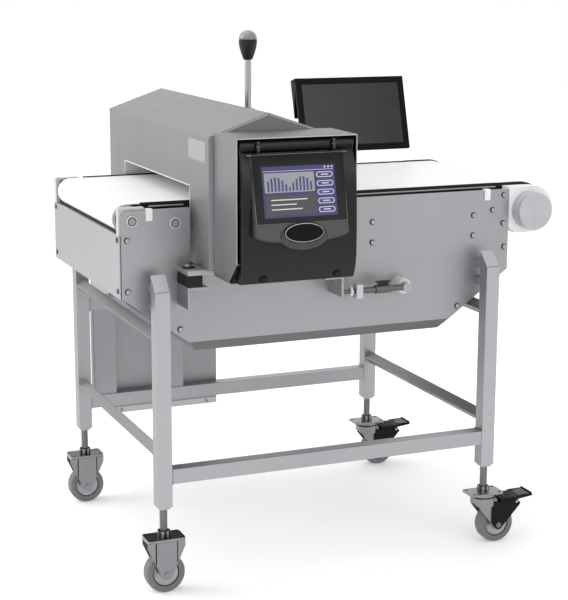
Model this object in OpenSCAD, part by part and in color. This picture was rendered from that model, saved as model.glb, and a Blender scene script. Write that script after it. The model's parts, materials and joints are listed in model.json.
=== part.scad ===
// Conveyor metal detector on a wheeled stand.
// Lengths are in millimetres. Places along X and Y count from the outer faces of the
// front left leg, and the module placed() moves everything so that the origin is on the
// floor under the middle of the whole machine. The operator stands on the -Y side and
// the belt runs along +X.

/* [Stand] */
// Width of the square leg and rail tubes
tube = 38; // [36:1:38.5]
// Wall of the square tubes
tube_wall = 2; // [1.5:0.5:3]
// Length of the stand over its legs, along the belt
stand_length = 953.2; // [930:5:980]
// Width of the stand over its legs, across the belt
stand_width = 773.8; // [773:0.5:780]
// Height of the legs' lower ends above the floor
leg_bottom = 223.8; // [223:0.5:228]
// Height of the legs' outer top edges, below the slope
leg_top = 770.7; // [760:5:780]
// Height of the lower rails' undersides
lower_rail_z = 283.5; // [270:5:310]
// Height of the rear upper rail's underside
upper_rail_z = 574; // [560:5:600]
// Width of the side rails, which are turned on their corner
side_rail = 26.9; // [24:0.5:26.9]
// Height of the lower side rails' middle
low_side_z = 354; // [350:2:380]
// Height of the upper side rails' middle
high_side_z = 651; // [640:2:670]

/* [Casters] */
// Diameter of the caster wheels
wheel_d = 101.6; // [98:0.2:102]
// Width of the caster wheels
wheel_w = 38; // [34:1:39]
// Diameter of the threaded stems
stem_d = 19.05; // [16:0.05:20]
// Distance over the flats of the stem nuts
nut_flats = 28.6; // [26:0.2:32]
// Length of the caster top plates along X
caster_plate_x = 98; // [90:1:110]
// Length of the caster top plates along Y
caster_plate_y = 62; // [60:1:70]
// Height of the caster top plates' upper faces
caster_top_z = 145; // [143:0.5:146]
// Distance of the swivelling wheels' axles from their swivel axes
trail = 36; // [34:0.5:38]

/* [Conveyor] */
// Height of the belt's upper face
belt_z = 972; // [960:2:990]
// Height of the belt's upper face above the side plates
plate_drop = 9; // [6:0.5:10]
// Distance of the belt's edges from the side plates' outer faces
belt_side = 54.8; // [54:0.2:60]
// Thickness of the belt
belt_t = 2; // [1.5:0.25:2.5]
// Gap between the legs and the conveyor's side plates
plate_gap = 36.6; // [35:0.2:38]
// Thickness of the side plates
plate_t = 4; // [3:0.5:5]
// Distance that the side plates reach past the left legs
plate_left = 66; // [60:1:70]
// Distance that the side plates reach past the right legs
plate_right = 66.4; // [62:0.2:70]
// Height of the side plates' undersides
plate_bottom = 622.5; // [615:0.5:630]
// Depth of the belly pan below the side plates
belly_drop = 27; // [20:1:32]
// Radius of the belt around the tail roller
tail_r = 35; // [30:1:36]
// Radius of the belt around the drum motor
drum_r = 67; // [60:1:68]
// Radius of the return roller inside the belt
return_r = 29; // [28.5:0.1:29.5]
// Radius of the carry and snub rollers below the belt
roller_r = 25; // [22:0.5:25]
// Diameter of the rollers' shafts
shaft_d = 18.5; // [14:0.5:20]
// Distance of the drum motor's axis from the right legs
drum_out = 125.8; // [122:0.5:132]

/* [Detector head] */
// Length of the head along the belt
head_length = 312; // [290:2:320]
// Place of the head's infeed face past the left leg's face
head_left = 128; // [122:2:136]
// Distance that the head reaches past the front and rear legs
head_over = 28; // [24:1:30]
// Height of the head's underside
head_bottom = 822; // [818:1:826]
// Height of the head's eaves
eaves_z = 1146; // [1120:2:1150]
// Height of the roof above the eaves
roof_rise = 53; // [40:1:60]
// Sheet thickness of the head's case
head_wall = 3; // [2:0.5:4]
// Free space beside the belt in the product opening
aperture_side = 16.5; // [14:0.5:18]
// Height of the opening's top above the belt
aperture_over = 39; // [30:1:60]
// Distance of the opening's floor below the belt
aperture_under = 87; // [84:1:90]
// Wall of the plastic liner in the opening
liner_t = 4; // [3:0.5:5]

/* [Operator enclosure] */
// Width of the enclosure
box_w = 307; // [290:1:310]
// Depth of the enclosure
box_d = 154; // [140:1:160]
// Height of the enclosure's underside
box_bottom = 810; // [805:1:815]
// Height of the enclosure's top
box_top = 1157; // [1150:1:1165]
// Depth of the slope at the enclosure's lower front edge
box_slope = 54; // [45:1:56]
// Width of the visible display glass
display_w = 184; // [170:1:190]
// Height of the visible display glass
display_h = 119; // [110:1:122]
// Angle that the display leans back
display_lean = 13; // [10:0.5:15]

/* [Rear cabinet] */
// Width of the rear cabinet
cabinet_w = 330; // [310:5:340]
// Depth of the rear cabinet's shell
cabinet_d = 180; // [160:5:200]
// Height of the rear cabinet's underside
cabinet_bottom = 250; // [245:1:255]
// Height of the rear cabinet
cabinet_h = 380; // [360:5:400]
// Depth of the cabinet's door
door_d = 20; // [16:1:24]

/* [Monitor and beacon] */
// Width of the flat monitor
monitor_w = 350; // [320:2:370]
// Height of the flat monitor
monitor_h = 219; // [200:1:225]
// Thickness of the flat monitor
monitor_t = 34; // [28:1:36]
// Angle that the monitor leans back
monitor_lean = 16; // [12:0.5:18]
// Height of the monitor's tilt axis
monitor_z = 1119; // [1110:1:1140]
// Diameter of the beacon's pole
pole_d = 17; // [14:1:18]
// Height of the beacon pole's upper end
pole_top = 1300.6; // [1280:2:1310]
// Height of the beacon's cup
cup_h = 54.2; // [48:1:58]
// Height of the beacon's dome
dome_h = 23.8; // [20:0.2:26]

/* [Hidden] */
$fn = 96;

// Gap between pieces that move apart, and the radial gap of a running fit
gap = 0.3;
fit = 0.05;
// Radial gap of pieces that only pass through a hole
slip = 0.2;
// Overrun of cutting shapes past the face that they cut
cut = 1;

// Middle planes of the stand
mid_y = stand_width/2;
right_leg_x = stand_length - tube;
left_mid_x = tube/2;
right_mid_x = stand_length - tube/2;

// Conveyor places
plate_y = tube + plate_gap;
inner_y = plate_y + plate_t;
plate_x0 = -plate_left;
plate_x1 = stand_length + plate_right;
plate_lip = 12;
plate_lip_t = 3;
plate_top = belt_z - plate_drop;
plate_corner_r = 18;
// Places where the lower slopes of the side plates begin and end
slope_x0 = 112;
slope_end = 108.2;
slope_x1 = stand_length - slope_end;
slope_top = 747;
belt_y = plate_y + belt_side;
belt_w = stand_width - 2*belt_y;
roller_y = belt_y - 5*belt_t/2;
tail_x = -33.1;
tail_z = belt_z - tail_r;
drum_x = stand_length + drum_out;
drum_z = belt_z - drum_r;
return_x = 77;
return_z = 927.1;
carry_past = 174.2;
carry_x = head_left + head_length + carry_past;
snub_end = 41.4;
snub_x = stand_length - snub_end;
carry_z = 871.5;
bushing_r = 14;
bushing_t = 6;

// Operator's head
head_right = head_left + head_length;
head_mid = head_left + head_length/2;
head_y0 = -head_over;
head_y1 = stand_width + head_over;
hole_y = belt_y - aperture_side;
hole_top = belt_z + aperture_over;
hole_bottom = belt_z - aperture_under;
window_gap = 12.3;
window_bottom = 815;

// Outer reach of the whole machine, which sets the origin
box_shift = 9.5;
box_x = head_mid - box_w/2 + box_shift;
box_y = head_y0 - box_d;
bezel_proud = 6;
wedge_top = 1117;
wedge_bottom = 915;
wedge_out = (wedge_top - wedge_bottom)*tan(display_lean);
cabinet_gap = 2.2;
cabinet_y = stand_width + cabinet_gap;
door_y = cabinet_y + cabinet_d + gap;
latch_proud = 12;
house_right = 75.8;
bolt_h = 5;
reach_left = min(tail_x - tail_r, plate_x0 - bolt_h/2);
reach_right = drum_x + house_right;
reach_front = box_y - bezel_proud - wedge_out;
reach_back = door_y + door_d + latch_proud;
x0 = -(reach_left + reach_right)/2;
y0 = -(reach_front + reach_back)/2;

// Colours as photographed
steel = [0.72, 0.72, 0.73];
dark_steel = [0.45, 0.45, 0.46];
black = [0.12, 0.12, 0.13];
white = [0.93, 0.93, 0.93];
grey = [0.6, 0.6, 0.62];

module placed() translate([x0, y0, 0]) children();

module far_side() translate([0, 2*mid_y, 0]) mirror([0, 1, 0]) children();

module both_sides() {
    children();
    far_side() children();
}

module both_ends(middle) {
    children();
    translate([2*middle, 0, 0]) mirror([1, 0, 0]) children();
}

module block(low, high) translate(low) cube(high - low);

module rod_x(r, from, to, y, z) translate([from, y, z]) rotate([0, 90, 0]) cylinder(r = r, h = to - from);

module rod_y(r, from, to, x, z) translate([x, from, z]) rotate([-90, 0, 0]) cylinder(r = r, h = to - from);

module rod_z(r, from, to, x, y) translate([x, y, from]) cylinder(r = r, h = to - from);

module hex_y(flats, from, to, x, z)
    translate([x, from, z]) rotate([-90, 30, 0]) cylinder(d = flats/cos(30), h = to - from, $fn = 6);

// Outline in the X and Z directions, extruded along Y
module slab_y(from, to) translate([0, to, 0]) rotate([90, 0, 0]) linear_extrude(to - from) children();

// Outline in the Y and Z directions, extruded along X
module slab_x(from, to) translate([from, 0, 0]) rotate([90, 0, 90]) linear_extrude(to - from) children();

module tube_x(from, to, y, z) difference() {
    block([from, y, z], [to, y + tube, z + tube]);
    block([from - cut, y + tube_wall, z + tube_wall], [to + cut, y + tube - tube_wall, z + tube - tube_wall]);
}

// Legs and rails

module leg_outline(wall) polygon([
    [wall, leg_bottom - (wall > 0 ? cut : 0)],
    [tube - wall, leg_bottom - (wall > 0 ? cut : 0)],
    [tube - wall, leg_top + tube - wall*(1 + sqrt(2))],
    [wall, leg_top + wall - wall*sqrt(2)]]);

module leg(x) color(steel) placed() difference() {
    slab_x(x, x + tube) leg_outline(0);
    slab_x(x + tube_wall, x + tube - tube_wall) leg_outline(tube_wall);
}

module far_leg(x) color(steel) placed() far_side() difference() {
    slab_x(x, x + tube) leg_outline(0);
    slab_x(x + tube_wall, x + tube - tube_wall) leg_outline(tube_wall);
}

module diamond_rail(x, z) difference() {
    slab_y(tube, stand_width - tube) translate([x, z]) rotate(45) square(side_rail, center = true);
    slab_y(tube - cut, stand_width - tube + cut)
        translate([x, z]) rotate(45) square(side_rail - 2*tube_wall, center = true);
}

module stand_rails() color(steel) placed() {
    tube_x(tube, right_leg_x, 0, lower_rail_z);
    tube_x(tube, right_leg_x, stand_width - tube, lower_rail_z);
    tube_x(tube, right_leg_x, stand_width - tube, upper_rail_z);
    for (x = [left_mid_x, right_mid_x], z = [low_side_z, high_side_z]) diamond_rail(x, z);
}

plug_t = 6;
plug_depth = 20;

module leg_plug(x) difference() {
    union() {
        block([x, 0, leg_bottom - plug_t], [x + tube, tube, leg_bottom]);
        block([x + tube_wall + slip, tube_wall + slip, leg_bottom],
              [x + tube - tube_wall - slip, tube - tube_wall - slip, leg_bottom + plug_depth]);
    }
    rod_z(stem_d/2 + slip, leg_bottom - plug_t - cut, leg_bottom + plug_depth + cut, x + tube/2, tube/2);
}

module leg_plugs() color(black) placed() both_sides() {
    leg_plug(0);
    leg_plug(right_leg_x);
}

spacer_r = 12.5;
spacer_drop = 48;

module leg_spacers() color(steel) placed() both_sides()
    for (x = [left_mid_x, right_mid_x], z = [leg_top, leg_top - spacer_drop])
        rod_y(spacer_r, tube, plate_y, x, z);

// Rear cabinet

post_w = 65;
post_t = 3;
post_x = [50, 255];
cabinet_x = 108;
cabinet_wall = 2;
lip_h = 18;

module cabinet_posts() color(steel) placed() for (x = post_x) difference() {
    block([x, stand_width - tube + cabinet_wall, lower_rail_z + tube], [x + post_w, cabinet_y, upper_rail_z]);
    block([x + post_t, stand_width - tube + cabinet_wall + post_t, lower_rail_z + tube - cut],
          [x + post_w - post_t, cabinet_y - post_t, upper_rail_z + cut]);
}

cabinet_x1 = cabinet_x + cabinet_w;
cabinet_top = cabinet_bottom + cabinet_h;
hinge_r = 5;
hinge_pin_r = 2;
hinge_h = 30;
hinge_x = cabinet_x1 + hinge_r + gap;
hinge_y = door_y;
hinge_share = 0.2;
gland_x = 125;
gland_y = cabinet_y + 30;
gland_r = 11;
gland_h = 18;
gland_bore = 9;

module cabinet_pin(z) {
    rod_z(hinge_r, z - hinge_h/2, z - gap, hinge_x, hinge_y);
    rod_z(hinge_pin_r, z - gap, z + hinge_h/2, hinge_x, hinge_y);
    block([cabinet_x1 - cabinet_wall, hinge_y - gap - 2*hinge_r, z - hinge_h/2], [hinge_x, hinge_y - gap, z - gap]);
}

module control_cabinet() color(steel) placed() {
    difference() {
        block([cabinet_x, cabinet_y, cabinet_bottom], [cabinet_x1, cabinet_y + cabinet_d, cabinet_top]);
        block([cabinet_x + cabinet_wall, cabinet_y + cabinet_wall, cabinet_bottom + cabinet_wall],
              [cabinet_x1 - cabinet_wall, cabinet_y + cabinet_d + cut, cabinet_top - cabinet_wall]);
        rod_z(gland_r/2 + slip, cabinet_bottom - cut, cabinet_bottom + cabinet_wall + cut, gland_x, gland_y);
    }
    for (share = [hinge_share, 1 - hinge_share]) cabinet_pin(cabinet_bottom + share*cabinet_h);
}

latch_r = 9;
latch_shaft_r = 5;
latch_x = cabinet_x + 30;
latch_z = cabinet_bottom + cabinet_h/2;

module door_knuckle(z) difference() {
    union() {
        rod_z(hinge_r, z, z + hinge_h/2, hinge_x, hinge_y);
        block([cabinet_x1 - cabinet_wall, hinge_y, z], [hinge_x, hinge_y + cabinet_wall, z + hinge_h/2]);
    }
    rod_z(hinge_pin_r + fit, z - cut, z + hinge_h/2 + cut, hinge_x, hinge_y);
}

module cabinet_door() color(steel) placed() {
    difference() {
        block([cabinet_x, door_y, cabinet_bottom], [cabinet_x1, door_y + door_d, cabinet_top]);
        block([cabinet_x + cabinet_wall, door_y - cut, cabinet_bottom + cabinet_wall],
              [cabinet_x1 - cabinet_wall, door_y + door_d - cabinet_wall, cabinet_top - cabinet_wall]);
        rod_y(latch_shaft_r + fit, door_y, door_y + door_d + cut, latch_x, latch_z);
    }
    for (share = [hinge_share, 1 - hinge_share]) door_knuckle(cabinet_bottom + share*cabinet_h);
}

latch_bar_t = 3;

module cabinet_latch() color(black) placed() {
    rod_y(latch_r, door_y + door_d + gap, reach_back - latch_proud/2, latch_x, latch_z);
    rod_y(latch_shaft_r, door_y + latch_bar_t, reach_back - latch_proud/2, latch_x, latch_z);
    block([latch_x - latch_r, reach_back - latch_proud/2, latch_z - latch_r/3],
          [latch_x + latch_r, reach_back, latch_z + latch_r/3]);
    block([latch_x - 2*latch_r, door_y + latch_bar_t, latch_z - latch_shaft_r],
          [latch_x + latch_shaft_r, door_y + 2*latch_bar_t, latch_z + latch_shaft_r]);
}

module cabinet_electronics() color(grey) placed() {
    board_margin = 25;
    standoff = 8;
    board_y = cabinet_y + cabinet_wall + standoff;
    supply_d = 90;
    supply_h = 130;
    block([cabinet_x + board_margin, board_y, cabinet_bottom + board_margin],
          [cabinet_x1 - board_margin, board_y + cabinet_wall, cabinet_top - board_margin]);
    for (x = [cabinet_x, cabinet_x1 - 4*board_margin], z = [cabinet_bottom, cabinet_top - 4*board_margin])
        rod_y(board_margin/5, cabinet_y + cabinet_wall, board_y, x + 2*board_margin, z + 2*board_margin);
    block([cabinet_x + 2*board_margin, board_y + cabinet_wall, cabinet_bottom + 2*board_margin],
          [cabinet_x + cabinet_w/2, board_y + cabinet_wall + supply_d, cabinet_bottom + 2*board_margin + supply_h]);
    block([cabinet_x + 2*board_margin, board_y + cabinet_wall, cabinet_top - 4*board_margin],
          [cabinet_x1 - 2*board_margin, board_y + supply_d/2, cabinet_top - 3*board_margin]);
}

module cable_glands() color(black) placed() difference() {
    union() {
        rod_z(gland_r, cabinet_bottom - gland_h, cabinet_bottom, gland_x, gland_y);
        rod_z(gland_r/2, cabinet_bottom - cut, cabinet_bottom + cabinet_wall + gland_r, gland_x, gland_y);
    }
    rod_z(gland_bore/2, cabinet_bottom - gland_h - cut, cabinet_bottom + gland_r + 2*cut + cabinet_wall,
          gland_x, gland_y);
}

// Casters

axle_z = wheel_d/2;
axle_r = 6;
cheek_t = 3;
cheek_gap = 2.5;
cheek_y = wheel_w/2 + cheek_gap;
cheek_r = 15;
caster_plate_t = 5;
caster_plate_r = 8;
nut_h = 16;
stem_top = leg_bottom + plug_depth - tube_wall;
race_h = 8;
crown_top = caster_top_z - caster_plate_t - race_h;
crown_t = 5;
race_r = 33;
rigid_half = 49;
rigid_low = 122;
fork_back = 48;
fork_front = 30;
fork_low = 117;
rib_half = 26;
rib_r = 11;
rib_out = 1.5;
head_r = 8;
pin_r = 6;
pin_head_r = 10;
pin_head_t = 4;
hub_r = 14;
hub_w = 5;

// Everything above a caster's fork: plate, nut and threaded stem
module caster_stem() {
    translate([0, 0, caster_top_z - caster_plate_t]) linear_extrude(caster_plate_t)
        offset(r = caster_plate_r) square([caster_plate_x, caster_plate_y] - 2*[caster_plate_r, caster_plate_r],
                                          center = true);
    translate([0, 0, caster_top_z]) cylinder(d = nut_flats/cos(30), h = nut_h, $fn = 6);
    rod_z(stem_d/2, caster_top_z, stem_top, 0, 0);
}

// One side of a fork, from a straight top down to a round end at the axle
module cheek(x, from, to, low, top) hull() {
    translate([from, low]) square([to - from, top - low]);
    translate([x, axle_z]) circle(cheek_r);
}

module fork_cheeks(x, from, to, low, top) for (side = [-1, 1])
    slab_y(side*cheek_y - (side < 0 ? cheek_t : 0), side*cheek_y + (side > 0 ? cheek_t : 0))
        cheek(x, from, to, low, top);

// Axle with heads that stand out of the cheeks
module axle(x, out) {
    rod_y(axle_r, -cheek_y - cheek_t - cut, cheek_y + cheek_t + cut, x, axle_z);
    for (side = [-1, 1]) {
        y = side*(cheek_y + cheek_t + out/2);
        rod_y(head_r, y - out/2, y + out/2, x, axle_z);
    }
}

module wheel(x) difference() {
    union() {
        rod_y(wheel_d/2, -wheel_w/2 + cheek_gap, wheel_w/2 - cheek_gap, x, axle_z);
        rod_y(wheel_d/2 - cheek_gap, -wheel_w/2, wheel_w/2, x, axle_z);
        rod_y(hub_r, -cheek_y + gap, cheek_y - gap, x, axle_z);
    }
    for (side = [-1, 1])
        slab_y(side*wheel_w/2 - hub_w, side*wheel_w/2 + hub_w) translate([x, axle_z]) difference() {
            circle(wheel_d/2 - 2*hub_w);
            circle(hub_r);
        }
    rod_y(axle_r + fit, -wheel_w, wheel_w, x, axle_z);
}

module rigid_fork() {
    caster_stem();
    block([-rigid_half, -cheek_y - cheek_t, caster_top_z - caster_plate_t - crown_t],
          [rigid_half, cheek_y + cheek_t, caster_top_z - caster_plate_t]);
    fork_cheeks(0, -rigid_half, rigid_half, rigid_low, caster_top_z - caster_plate_t);
    for (side = [-1, 1]) {
        y = side*(cheek_y + cheek_t + rib_out/2);
        slab_y(y - rib_out/2, y + rib_out/2) hull() {
            translate([-rib_half, rigid_low]) square([2*rib_half, caster_top_z - caster_plate_t - rigid_low]);
            translate([0, axle_z]) circle(rib_r);
        }
    }
    axle(0, 2*rib_out);
}

module swivel_stem() {
    caster_stem();
    rod_z(race_r, crown_top + gap, caster_top_z - caster_plate_t, 0, 0);
    rod_z(pin_r, crown_top - crown_t - gap - pin_head_t, crown_top + gap, 0, 0);
    rod_z(pin_head_r, crown_top - crown_t - gap - pin_head_t, crown_top - crown_t - gap, 0, 0);
}

module swivel_fork() {
    difference() {
        block([-fork_back, -cheek_y - cheek_t, crown_top - crown_t], [fork_front, cheek_y + cheek_t, crown_top]);
        rod_z(pin_r + fit, crown_top - crown_t - cut, crown_top + cut, 0, 0);
    }
    fork_cheeks(trail, -fork_back, fork_front, fork_low, crown_top);
    axle(trail, cover_t + 2*cover_gap);
}

cover_t = 4;
cover_gap = 0.8;
cover_back = 20;
cover_top_z = 117.5;
cover_low_z = 55;
cover_r = 12;
cover_nose = 11;
cover_y = cheek_y + cheek_t + cover_gap;
bridge_from = trail + 4;
bridge_to = trail + 44;
bridge_z = 112.5;
bridge_t = 3;
pedal_x = trail + 55;
pedal_z = 112;
pedal_pin_r = 3;
pedal_boss_r = 8;
pedal_low_z = 118.5;
pedal_t = 6;
pedal_from = trail + 3;
pedal_bend = trail + 64;
pedal_tip = trail + 103;
pedal_rise = 4.5;

module brake_plate() difference() {
    union() {
        polygon([[trail - cover_back, cover_top_z], [pedal_x, cover_top_z],
                 [pedal_x + cover_nose, pedal_z - pedal_pin_r], [pedal_x + cover_nose, pedal_z - pedal_boss_r],
                 [trail + 0.7*cover_r, axle_z - 0.7*cover_r], [trail - 0.7*cover_r, axle_z - 0.7*cover_r],
                 [trail - cover_back, cover_low_z]]);
        translate([trail, axle_z]) circle(cover_r);
    }
    translate([pedal_x, pedal_z]) circle(pedal_pin_r + slip);
    translate([trail, axle_z]) circle(head_r + slip);
}

// Black covers outside the cheeks, joined by a bridge above the wheel
module brake_cover() {
    for (side = [-1, 1]) slab_y(side > 0 ? cover_y : -cover_y - cover_t, side > 0 ? cover_y + cover_t : -cover_y)
        brake_plate();
    block([bridge_from, -cover_y - cut, bridge_z], [bridge_to, cover_y + cut, bridge_z + bridge_t]);
}

// Flat pedal over the covers, on a boss between them
module pedal() {
    rod_y(pedal_pin_r, -cover_y - cover_t, cover_y + cover_t, pedal_x, pedal_z);
    rod_y(pedal_boss_r, -cover_y + gap, cover_y - gap, pedal_x, pedal_z);
    slab_y(-cover_y - cover_t, cover_y + cover_t) polygon([
        [pedal_from, pedal_low_z], [pedal_bend, pedal_low_z], [pedal_tip, pedal_low_z + pedal_rise],
        [pedal_tip, pedal_low_z + pedal_rise + pedal_t], [pedal_bend, pedal_low_z + pedal_t + 1],
        [pedal_from, pedal_low_z + pedal_t]]);
}

module at_caster(x) placed() translate([x, tube/2, 0]) children();

module at_far_caster(x) placed() translate([x, stand_width - tube/2, 0]) children();

// Conveyor frame

module plate_outline() difference() {
    union() {
        polygon([[plate_x0, plate_top - plate_corner_r], [plate_x0 + plate_corner_r, plate_top],
                 [head_left - window_gap, plate_top], [head_left - window_gap, window_bottom],
                 [head_right + window_gap, window_bottom], [head_right + window_gap, plate_top],
                 [plate_x1, plate_top], [plate_x1, slope_top], [slope_x1, plate_bottom],
                 [slope_x0, plate_bottom], [plate_x0, slope_top]]);
        translate([plate_x0 + plate_corner_r, plate_top - plate_corner_r]) circle(plate_corner_r);
    }
    translate([tail_x, tail_z]) circle(bushing_r + slip);
    translate([return_x, return_z]) circle(bushing_r + slip);
}

module side_plate() {
    slab_y(plate_y, inner_y) plate_outline();
    block([plate_x0 + plate_corner_r, inner_y, plate_top - plate_lip_t],
          [head_left - window_gap, plate_y + plate_lip, plate_top]);
    block([head_right + window_gap, inner_y, plate_top - plate_lip_t],
          [plate_x1, plate_y + plate_lip, plate_top]);
}

cover_top = 902;
cover_bottom = 745;
cover_lip = 7.5;

module infeed_cover() color(steel) placed() {
    block([plate_x0, inner_y, cover_bottom], [plate_x0 + plate_t, stand_width - inner_y, cover_top]);
    for (z = [cover_bottom, cover_top - plate_t])
        block([plate_x0, inner_y, z], [plate_x0 + cover_lip, stand_width - inner_y, z + plate_t]);
}

belly_in = 22;

// Shallow tray with sloping sides under the side plates
module belly_outline(inset) polygon([
    [slope_x0 + inset, plate_bottom], [slope_x0 + belly_in + inset, plate_bottom - belly_drop + inset],
    [slope_x1 - belly_in - inset, plate_bottom - belly_drop + inset], [slope_x1 - inset, plate_bottom],
    [slope_x1 - inset, plate_bottom + inset], [slope_x0 + inset, plate_bottom + inset]]);

module belly_cross(inset) polygon([
    [plate_y + inset, plate_bottom], [plate_y + belly_in + inset, plate_bottom - belly_drop + inset],
    [stand_width - plate_y - belly_in - inset, plate_bottom - belly_drop + inset],
    [stand_width - plate_y - inset, plate_bottom], [stand_width - plate_y - inset, plate_bottom + inset],
    [plate_y + inset, plate_bottom + inset]]);

module belly_pan() color(dark_steel) placed() difference() {
    intersection() {
        slab_y(0, stand_width) belly_outline(0);
        slab_x(0, stand_length) belly_cross(0);
    }
    intersection() {
        slab_y(0, stand_width) belly_outline(plate_lip_t);
        slab_x(0, stand_length) belly_cross(plate_lip_t);
    }
}

bed_t = 12;
bed_step = 8;
bed_strip = 11;
bed_x0 = 2;
bed_end = 10;
bed_x1 = drum_x - drum_r - bed_end;
bed_y = belt_y - bed_strip;
bar = 20;

// Black slider bed, with lower strips beside the belt, on crossbars between the plates
module slider_bed() color(black) placed() {
    bed_z = belt_z - belt_t;
    slab_x(bed_x0, bed_x1) polygon([
        [bed_y, bed_z - bed_t], [2*mid_y - bed_y, bed_z - bed_t], [2*mid_y - bed_y, bed_z - bed_step + belt_t],
        [2*mid_y - belt_y, bed_z - bed_step + belt_t], [2*mid_y - belt_y, bed_z], [belt_y, bed_z],
        [belt_y, bed_z - bed_step + belt_t], [bed_y, bed_z - bed_step + belt_t]]);
    for (x = [return_x - 2*bar - bushing_r, head_right + 2*bar, carry_x, snub_x])
        block([x, inner_y, bed_z - bed_t - bar], [x + bar, stand_width - inner_y, bed_z - bed_t]);
}

// Belt

// Pulleys as [x, z, radius to the belt's inner face]; a negative radius presses on the outside
belt_gap = gap;
pulleys = [
    [tail_x, tail_z, tail_r - belt_t],
    [drum_x, drum_z, drum_r - belt_t],
    [snub_x, carry_z, -(roller_r + belt_gap + belt_t)],
    [carry_x, carry_z, -(roller_r + belt_gap + belt_t)],
    [return_x, return_z, return_r + belt_gap]];
arc_step_angle = 7;

function heading(a, b) = atan2(b[1] - a[1], b[0] - a[0])
    - asin((a[2] - b[2])/norm([b[0] - a[0], b[1] - a[1]]));
// The belt turns clockwise round a pulley that it wraps, the other way past one that presses on it
function swept(angle, way) = way*(way*angle - 360*floor(way*angle/360));
function grown(list, t) = [for (p = list) [p[0], p[1], p[2] + t]];
function turn(list, i) = let (n = len(list), before = heading(list[(i + n - 1) % n], list[i]),
    after = heading(list[i], list[(i + 1) % n])) [before + 90, swept(after - before, list[i][2] > 0 ? -1 : 1)];
function loop_points(list) = [for (i = [0:len(list) - 1])
    let (t = turn(list, i), steps = ceil(abs(t[1])/arc_step_angle)) for (k = [0:steps])
    [list[i][0] + list[i][2]*cos(t[0] + t[1]*k/steps), list[i][1] + list[i][2]*sin(t[0] + t[1]*k/steps)]];

module conveyor_belt() color(white) placed() slab_y(belt_y, belt_y + belt_w) difference() {
    polygon(loop_points(grown(pulleys, belt_t)));
    polygon(loop_points(pulleys));
}

// Hollow roller shell with end discs and its shaft, turning in bearings
shell_t = 3;
disc_t = 8;

module shell(x, z, r, core_r) difference() {
    rod_y(r, roller_y, stand_width - roller_y, x, z);
    difference() {
        rod_y(r - shell_t, roller_y + disc_t, stand_width - roller_y - disc_t, x, z);
        rod_y(core_r, roller_y, stand_width - roller_y, x, z);
    }
}

module roller(x, z, r, shaft_y) color(grey) placed() {
    shell(x, z, r, shaft_d/2);
    rod_y(shaft_d/2, shaft_y, stand_width - shaft_y, x, z);
}

bearing_w = 60;
bearing_h = 75;
bearing_t = 14;
bushing_out = 3;
shaft_out = 4;

// White bushings of the two visible shafts and inner bearing blocks of the two hidden ones
module roller_bearings() color(white) placed() both_sides() {
    for (p = [[tail_x, tail_z], [return_x, return_z]]) difference() {
        rod_y(bushing_r, plate_y - bushing_out, inner_y, p[0], p[1]);
        rod_y(shaft_d/2 + fit, plate_y - bushing_out - cut, inner_y + cut, p[0], p[1]);
    }
    for (x = [carry_x, snub_x]) difference() {
        block([x - bearing_w/2, inner_y, carry_z - bearing_h/2],
              [x + bearing_w/2, inner_y + bearing_t, carry_z + bearing_h/2]);
        rod_y(shaft_d/2 + fit, inner_y + gap, inner_y + bearing_t + cut, x, carry_z);
    }
}

// Drum motor

motor_shaft_r = 15;
motor_core_r = 42;
motor_cap_r = 50;
motor_cap_out = 41.1;
house_below = 61.2;
house_above = 63;
house_z0 = drum_z - house_below;
house_z1 = drum_z + house_above;
house_r = 62;
house_chamfer = 20;
house_in = 40;

module drum_motor() color(grey) placed() {
    shell(drum_x, drum_z, drum_r - belt_t - gap, motor_core_r);
    rod_y(motor_shaft_r, plate_y + house_in/2, stand_width - plate_y - house_in/2, drum_x, drum_z);
}

// White housings that carry the drum motor's shaft past the ends of the side plates
module drum_end_blocks() color(white) placed() both_sides() difference() {
    union() {
        slab_y(plate_y, plate_y + house_in) {
            polygon([[plate_x1, house_z0 + house_chamfer], [plate_x1 + house_chamfer, house_z0],
                     [drum_x, house_z0], [drum_x, house_z1], [plate_x1, house_z1]]);
            intersection() {
                polygon([[drum_x, house_z0], [drum_x + house_right, house_z0],
                         [drum_x + house_right, house_z1], [drum_x, house_z1]]);
                translate([drum_x + house_right - house_r, (house_z0 + house_z1)/2]) circle(house_r);
            }
            polygon([[drum_x - cut, house_z0], [drum_x + house_right - house_r, house_z0],
                     [drum_x + house_right - house_r, house_z1], [drum_x - cut, house_z1]]);
        }
        slab_y(inner_y, plate_y + house_in)
            polygon([[plate_x1 - house_in, house_z0 + house_in], [plate_x1 + cut, house_z0 + house_in],
                     [plate_x1 + cut, drum_z + house_in], [plate_x1 - house_in, drum_z + house_in]]);
    }
    rod_y(motor_shaft_r + fit, plate_y + house_in/4, plate_y + house_in + cut, drum_x, drum_z);
}

module drum_motor_cap() color(grey) placed()
    rod_y(motor_cap_r, plate_y - motor_cap_out, plate_y, drum_x, drum_z);

// Small conveyor pieces

nose_w = 66;
nose_d = 44;
nose_bar = 7;
nose_top = belt_z - belt_t;

// White posts at the infeed end, each with a bar along the belt
module nose_blocks() color(white) placed() both_sides() slab_y(inner_y, inner_y + nose_d)
    polygon([[plate_x0, cover_top], [plate_x0 + plate_lip, cover_top], [plate_x0 + plate_lip, nose_top - nose_bar],
             [plate_x0 + nose_w, nose_top - nose_bar], [plate_x0 + nose_w, nose_top], [plate_x0, nose_top]]);

clip_w = 17;
clip_t = 3;
clip_drop = 26.5;
clip_past = 1.8;
clip_x = [clip_past, stand_length - clip_w + 4*clip_past];

module guide_clips() color(white) placed() both_sides() for (x = clip_x) {
    block([x, plate_y - clip_t, plate_top - clip_drop], [x + clip_w, plate_y, plate_top + clip_t]);
    block([x, plate_y, plate_top], [x + clip_w, plate_y + plate_lip, plate_top + clip_t]);
}

bolt_flats = 13;
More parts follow.
